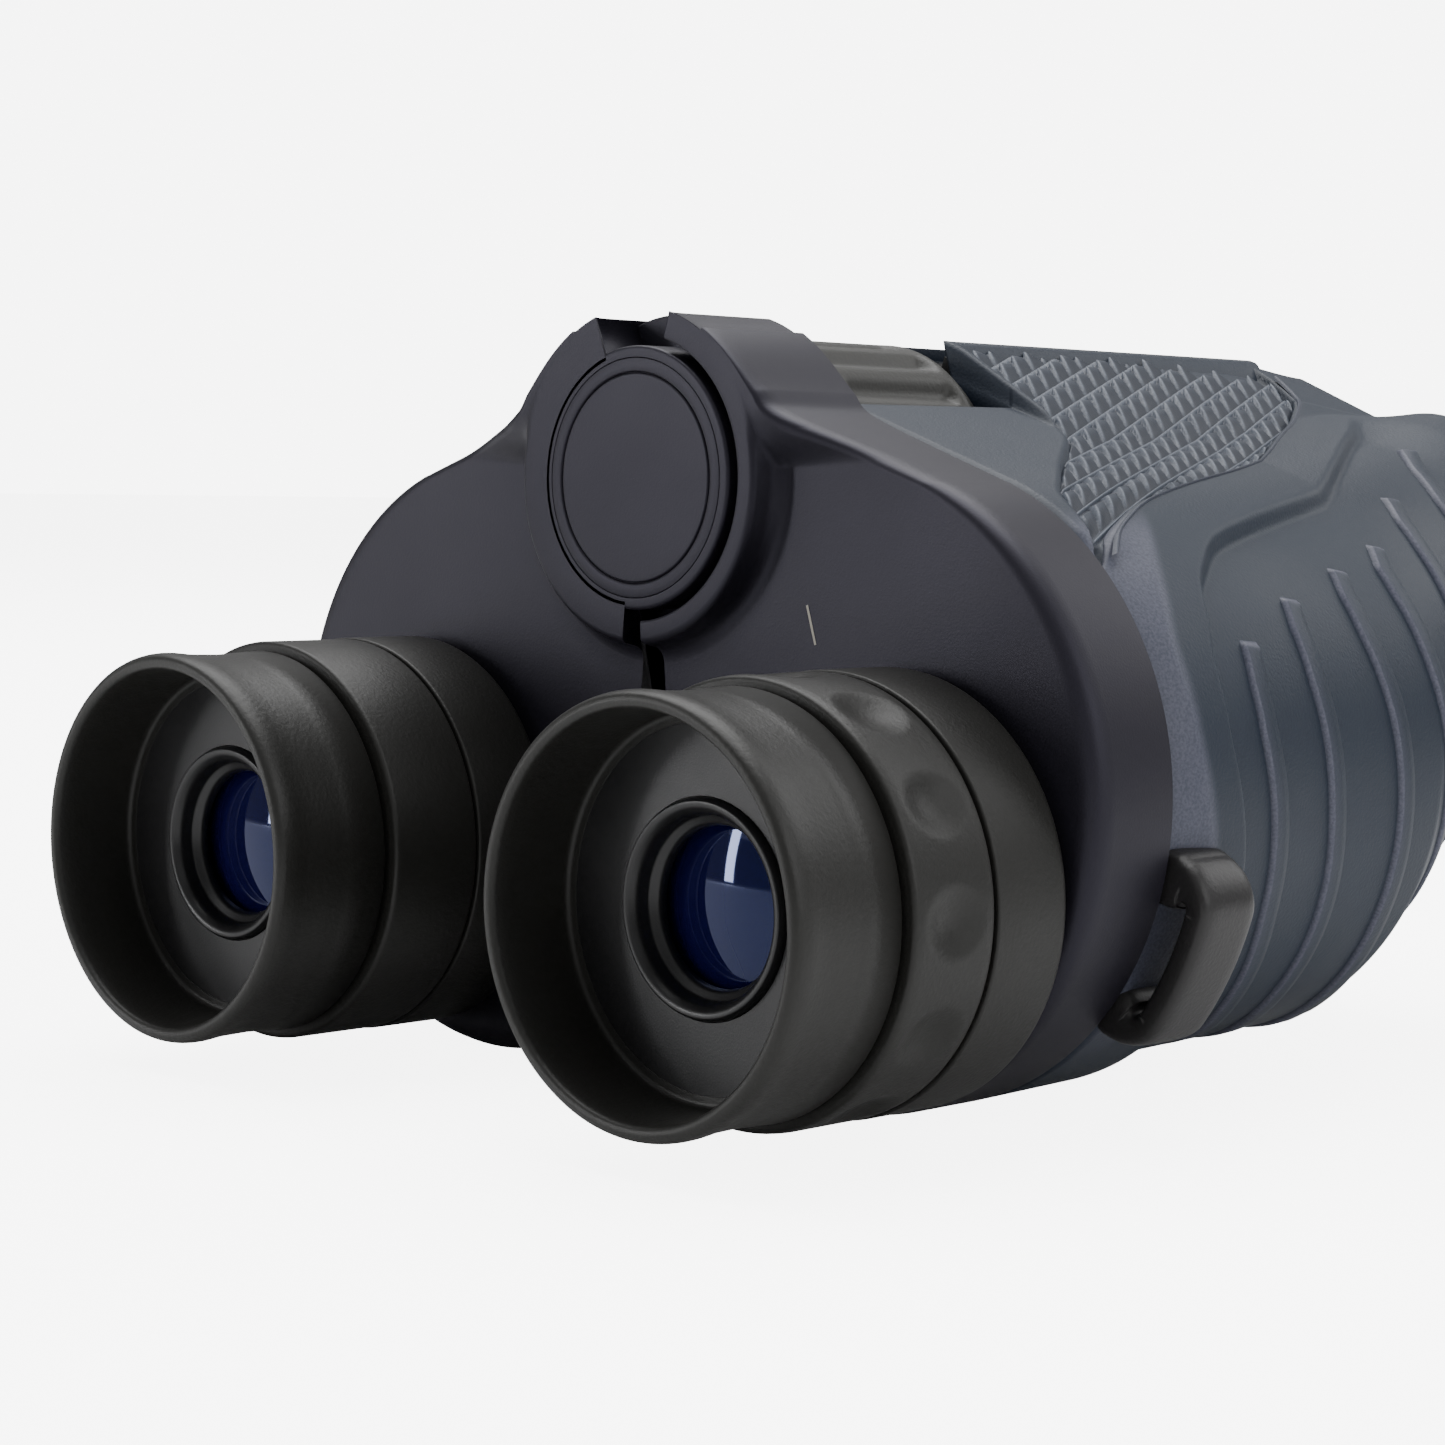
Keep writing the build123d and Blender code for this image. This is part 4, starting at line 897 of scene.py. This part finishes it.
dioptre = hollowed(RING_START, RING_END, EYES["right"])
piece("right_dioptre_grip", [(dioptre, True)], ring_rubber, "dioptre_ring", ["right_dioptre_ring"])
plain = turned([(RING_BORE, RING_END), (RING_BORE, RING_START), (RING_R, RING_START), (RING_R, RING_END),
                (RING_BORE, RING_END)], (0.1, 0.45, 0.25), EYES["left"], 240)
piece("left_plain_grip", [(plain, True)], ring_rubber, "left_half", ["left_eyepiece_ring"])
ZOOM_R, ZOOM_BORE, ZOOM_START, ZOOM_END = 17.6, 12.4, 20.98, 29.25
for half in EYES:
    zoom = turned([(ZOOM_BORE, 29.2), (ZOOM_BORE, ZOOM_START), (ZOOM_R, ZOOM_START), (ZOOM_R, ZOOM_END),
                   (ZOOM_BORE, ZOOM_END)], (0.1, 0.25, 0.8), EYES[half], 240)
    piece(half + "_zoom_grip", [(zoom, True)], ring_rubber, half + "_zoom", [half + "_zoom_ring"])

# ------------------------------------------------------------------ strap lug
# A moulded loop for the neck strap stands on two posts at the lower outer side of each half.
# Its bar is rounded and the posts swell into the rubber.
LUG_LOW, LUG_HIGH = np.radians((-43.0, -9.0))
LUG_STAND, LUG_CORNER, LUG_START, LUG_END, LUG_HALF_THICK = 2.0, 2.0, 40.5, 47.5, 1.25
SQUARENESS = 0.45                         # power that squares the ellipse of the section
lug_rubber = finish("lug plastic", (0.0125, 0.0120, 0.0125), (0.0180, 0.0170, 0.0175), (0.36, 0.46),
                    grain=3000, depth=0.00003, mottling=60)


def lug_sheet():
    """Rounded section carried along a U: up one post, along the arc of the bar, down the other."""
    x, z, big = large_circle(np.array((LUG_START + LUG_END) / 2))
    inner = big + LUG_STAND + 1.1
    lean = LUG_CORNER / inner
    post = np.linspace(big - 1.2, inner - LUG_CORNER, 12)
    bend = np.linspace(0, np.pi / 2, 12)
    arc = np.linspace(LUG_LOW + 2 * lean, LUG_HIGH - 2 * lean, 40)
    reach = np.concatenate((post, inner - LUG_CORNER + LUG_CORNER * np.sin(bend), np.full(40, inner),
                            inner - LUG_CORNER + LUG_CORNER * np.cos(bend), post[::-1]))
    turn = np.concatenate((np.full(12, LUG_LOW + lean), LUG_LOW + lean + lean * (1 - np.cos(bend)), arc,
                           LUG_HIGH - 2 * lean + lean * np.sin(bend), np.full(12, LUG_HIGH - lean)))
    path = np.stack((x + reach * np.cos(turn), z + reach * np.sin(turn)), -1)
    run = np.gradient(path, axis=0)
    run = run / np.linalg.norm(run, axis=1, keepdims=True)
    side = np.stack((run[:, 1], -run[:, 0]), -1)
    swell = 1 + 0.9 * (1 - smooth((reach - big) / (LUG_STAND + 1.0)))
    turns = np.arange(40) * 2 * np.pi / 40
    wide, thick = (np.sign(wave) * np.abs(wave) ** SQUARENESS for wave in (np.cos(turns), np.sin(turns)))
    offset = thick[:, None] * LUG_HALF_THICK * swell
    spread = path + offset[..., None] * side
    deep = (LUG_START + LUG_END) / 2 + wide[:, None] * (LUG_END - LUG_START) / 2
    sheet = np.stack(np.broadcast_arrays(spread[..., 0], deep, spread[..., 1]), -1)
    return np.swapaxes(sheet, 0, 1)


for half in EYES:
    piece(half + "_strap_loop", [(sided(half, lug_sheet()), True)], lug_rubber, half + "_half",
          [half + "_strap_lug"])

# ------------------------------------------------------------------ objective lenses
# A glass lens sits in each objective cell behind its retaining ring.  The coating looks red
# to violet from the front.
LENS_BULGE = 2.0
OBJECTIVES = {"right": OBJECTIVE, "left": OBJECTIVE * (-1.0, 1.0)}
objective_glass = coated("red coated glass", (0.050, 0.006, 0.020), (0.020, 0.010, 0.080))
for half, axis in OBJECTIVES.items():
    low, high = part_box(half + "_objective_lens")
    front, rear = (high.y * 1000 - LIP_Y), (low.y * 1000 - LIP_Y)
    radius = (high.x - low.x) * 500
    dome = lens(radius - 0.05, rear + 0.5, front - LENS_BULGE, LENS_BULGE, axis, 1)
    piece(half + "_objective_glass", [(dome, True)], objective_glass, half + "_objective",
          [half + "_objective_lens"])

# ------------------------------------------------------------------ parts inside
# The chassis, cells, tubes, prisms and fittings keep their modelled shape and get their finish:
# moulded plastic, anodised or bright metal, spring steel and coated glass.
chassis = finish("chassis plastic", (0.0115, 0.0110, 0.0115), (0.0165, 0.0160, 0.0165), (0.50, 0.60),
                 grain=2500)
steel = finish("bright steel", (0.42, 0.42, 0.43), (0.52, 0.52, 0.53), (0.22, 0.32), grain=5000,
               depth=0.00001, metallic=1.0)
spring = finish("spring steel", (0.28, 0.27, 0.25), (0.36, 0.35, 0.33), (0.28, 0.38), grain=5000,
                depth=0.00001, metallic=1.0)
inner_glass = coated("clear coated glass", (0.020, 0.030, 0.045), (0.030, 0.020, 0.070))
prism_glass = coated("prism glass", (0.060, 0.070, 0.070), (0.080, 0.090, 0.090))
FINISHES = {
    "body_shell": chassis, "bridge_cover": cover_plastic, "hinge_axle": steel, "hinge_washer": spring,
    "hinge_nut": black_metal, "focus_sleeve": black_metal, "cam_tube": black_metal,
    "guide_tube": black_metal, "ocular_barrel": black_metal, "objective_cell": black_metal,
    "objective_ring": black_metal, "zoom_cell": black_metal, "zoom_lever": ring_rubber,
    "prism_clips": spring, "prism_screws": steel, "prism_plate": black_metal,
    "prism_rear": prism_glass, "prism_front": prism_glass, "field_lens": inner_glass,
    "zoom_lens": inner_glass,
}
for node, kept in frame["nodes"].items():
    for ending, surface in FINISHES.items():
        if ending in node:
            kept.data.materials.clear()
            kept.data.materials.append(surface)
